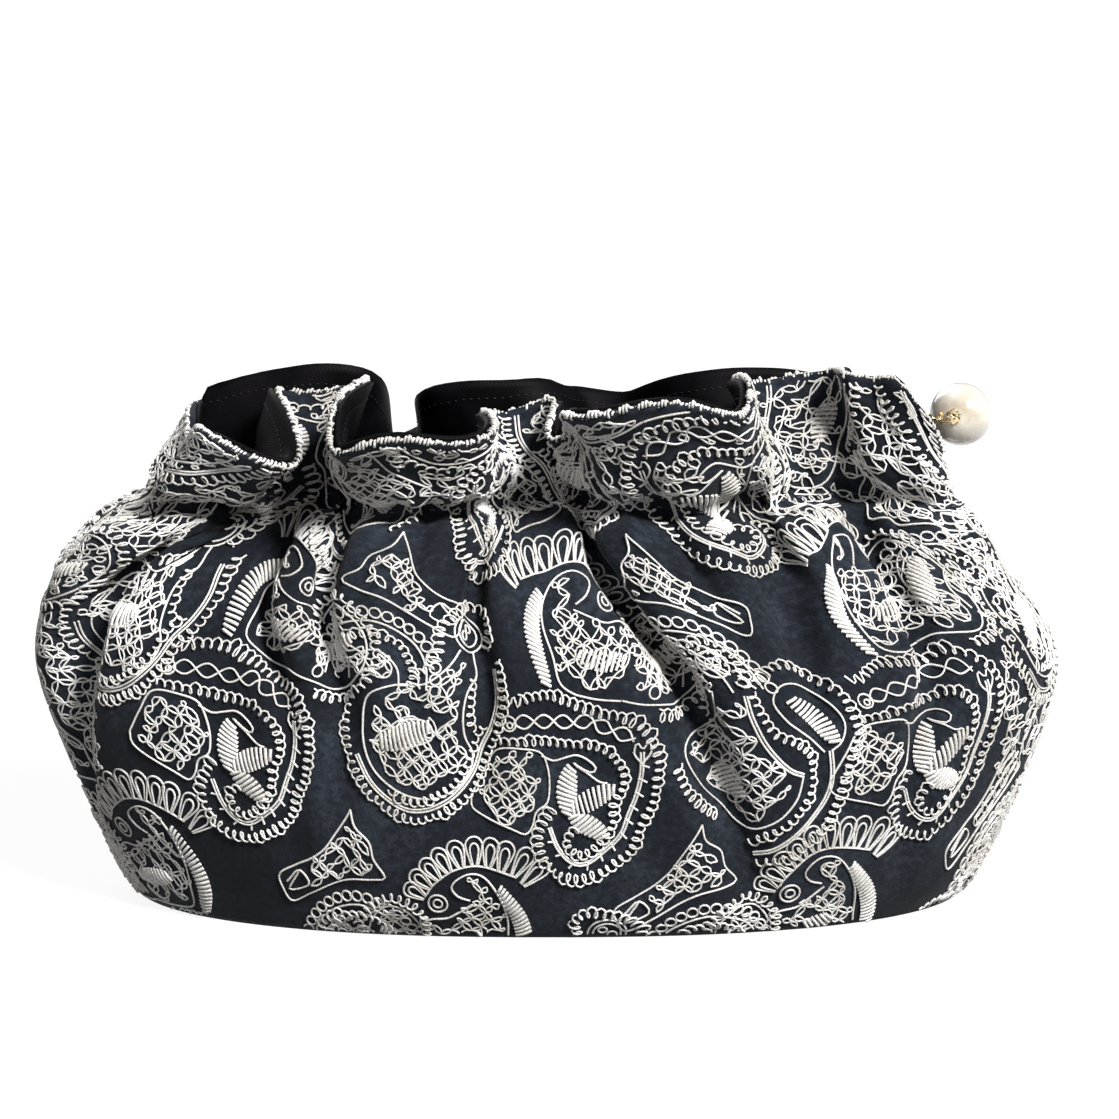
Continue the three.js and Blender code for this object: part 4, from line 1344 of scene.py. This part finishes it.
# The charm: a hidden wire post, two oval jump rings, an eye pin, a petalled cap and a pearl
charm = {
    "pearlCentre": (88.5, 4.0, 103.3),
    "pearlRadius": 6.75,
    "pearlHole": 0.6,
    "drillDepth": 6.0,
    "wire": 0.25,
    "linkReach": 1.7,
    "linkEndRadius": 1.0,
    "linkSeat": 0.1,
    "linkGap": 0.3,
    "loopRadius": 0.95,
    "eyeClear": 0.4,
    "capHeight": 0.9,
    "capSpread": 1.7,
    "capWall": 0.35,
    "capSeat": 0.3,
    "petals": 6,
    "pinAxis": (0.31, 0.945, -0.129),
    "chainAxis": (0.755, -0.617, 0.216),
    "postAxis": (-0.3, 0.15, -0.94),
    "postLength": 16.0,
    "pinStem": 5.0,
    # degrees an eye's wire turns through, and its neck's height, offset and length
    "eyeTurn": (125, 412),
    "eyeNeck": (0.7, 0.12, 0.9),
    "ringTurn": (93, 447),
    "petalCut": 0.16,
    "steps": {"eye": 11, "bend": 5, "ring": 50, "wire": 12, "pearl": 44, "around": 72, "cap": 9,
              "petal": 12},
    "weld": 1e-7,
}


def unit(vector):
    return np.array(vector, float) / np.linalg.norm(vector)


def frameAlong(axis, hint):
    # rows are local x, y and z, with z along the axis and x near the hint
    z = unit(axis)
    y = unit(np.cross(z, hint))
    return np.array([np.cross(y, z), y, z])


def eyeWire(stemLength):
    # a wire bent into an eye in the local XZ plane that runs on as a stem along +Z
    loop = charm["loopRadius"]
    angle = np.radians(np.linspace(*charm["eyeTurn"], charm["steps"]["eye"]))
    points = [(loop * math.cos(a), 0, loop * math.sin(a)) for a in angle]
    rise, offset, run = charm["eyeNeck"]
    points += [(offset, 0, loop + rise), (0, 0, loop + rise + run), (0, 0, loop + stemLength)]
    return smoothPath(points, charm["steps"]["bend"])


def jumpRing():
    # an oval with straight sides along local X, cut open in the middle of one side
    angle = np.radians(np.linspace(*charm["ringTurn"], charm["steps"]["ring"]))
    ring = charm["linkEndRadius"]
    across = np.cos(angle)
    along = ring * across + np.sign(across) * (charm["linkReach"] - ring)
    return np.column_stack([along, ring * np.sin(angle), np.zeros_like(angle)])


def turnedMesh(name, profile, sides, centre, turn, shape=None):
    # a closed profile of (radius, height) turned about local Z
    angle = np.arange(sides) * 2 * np.pi / sides
    circle = np.column_stack([np.cos(angle), np.sin(angle), np.ones(sides)])
    rows = [circle * (radius, radius, height) for radius, height in profile]
    rows = np.array(rows if shape is None else [shape(row) for row in rows])
    points = rows.reshape(-1, 3) @ turn + centre
    mesh = bpy.data.meshes.new(name)
    mesh.from_pydata((points * mm).tolist(), [], gridFaces(len(rows), sides, 0, True, True).tolist())
    return mesh


def closeAndSmooth(mesh):
    work = bmesh.new()
    work.from_mesh(mesh)
    bmesh.ops.remove_doubles(work, verts=work.verts, dist=charm["weld"])
    bmesh.ops.recalc_face_normals(work, faces=work.faces)
    work.to_mesh(mesh)
    work.free()
    smoothFaces(mesh)
    return mesh


def pearlProfile():
    radius, hole = charm["pearlRadius"], charm["pearlHole"]
    angle = np.linspace(0, np.pi - math.asin(hole / radius), charm["steps"]["pearl"])
    skin = [(radius * math.sin(a), -radius * math.cos(a)) for a in angle]
    bottom = radius - charm["drillDepth"]
    return [(0, -radius), *skin[1:], (hole, bottom), (0, bottom)]


def capProfile():
    seat = charm["pearlRadius"] + charm["capSeat"]
    spread = np.linspace(charm["pearlHole"], charm["capSpread"], charm["steps"]["cap"])
    outer = [(r, seat - math.sqrt((seat + charm["capWall"]) ** 2 - r * r)) for r in spread]
    inner = [(r, seat - math.sqrt(seat * seat - r * r)) for r in spread]
    return [*outer, *inner[::-1], outer[0]]


def petalEdge(row):
    # draw the cap's edge in between its petals
    r = np.hypot(row[:, 0], row[:, 1])
    edge = smoothStep((r - charm["pearlHole"]) / (charm["capSpread"] - charm["pearlHole"]))
    wave = (1 - np.cos(charm["petals"] * np.arctan2(row[:, 1], row[:, 0]))) / 2
    drawn = 1 - charm["petalCut"] * edge * wave
    return row * np.column_stack([drawn, drawn, np.ones_like(drawn)])


def makeCharm():
    c, steps = charm, charm["steps"]
    pearlCentre, pin, chain = np.array(c["pearlCentre"]), unit(c["pinAxis"]), unit(c["chainAxis"])
    eyeToPearl = c["pearlRadius"] + c["capHeight"] + c["loopRadius"] + c["eyeClear"]
    pinEye = pearlCentre - pin * eyeToPearl
    hang = c["linkReach"] - c["linkSeat"]
    outerRing = pinEye - chain * hang
    innerRing = outerRing - chain * (2 * (c["linkReach"] - c["wire"]) - c["linkGap"])
    postEye = innerRing - chain * hang
    ringSide = unit(np.cross(chain, (0, 0, 1)))
    ringUp = unit(np.cross(ringSide, chain))
    wires = {
        "charm_post": eyeWire(c["postLength"]) @ frameAlong(c["postAxis"], chain) + postEye,
        "jump_ring_inner": jumpRing() @ frameAlong(ringUp, chain) + innerRing,
        "jump_ring_outer": jumpRing() @ frameAlong(ringSide, chain) + outerRing,
        "eye_pin": eyeWire(c["pinStem"]) @ frameAlong(pin, chain) + pinEye,
    }
    made = {}
    for node, path in wires.items():
        values = {"Radius": c["wire"] * mm, "Sides": steps["wire"]}
        made[node] = growOnPaths(f"{node}_wire", threadTree, [path], finishes["gold"], values)
    seat = pearlCentre - pin * (c["pearlRadius"] + c["capSeat"])
    upright = (0, 0, 1)
    capSides = c["petals"] * steps["petal"]
    cap = turnedMesh("petal_cap", capProfile(), capSides, seat, frameAlong(pin, upright), petalEdge)
    made["bead_cap"] = addObject(closeAndSmooth(cap), finishes["gold"])
    drilled = frameAlong(-pin, upright)
    bead = turnedMesh("pearl_bead", pearlProfile(), steps["around"], pearlCentre, drilled)
    made["pearl"] = addObject(closeAndSmooth(bead), finishes["pearl"])
    return made


charmPieces = makeCharm()
print("charm ready")


def attach(piece, node=None):
    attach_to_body(piece, "root")
    if node:
        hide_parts(node)


# Every piece rides on the one body
for side, piece in panelPieces.items():
    attach(piece, f"{side}_panel")
    for thread in threadPieces[side]:
        attach(thread)
    attach(shirringPieces[side])

attach(lining, "lining")
attach(liningStitches)
attach(base, "base_panel")
baseEdge = baseRing(liningOuter, 0)[:, :2] * mm
for node, piece in charmPieces.items():
    attach(piece, node)
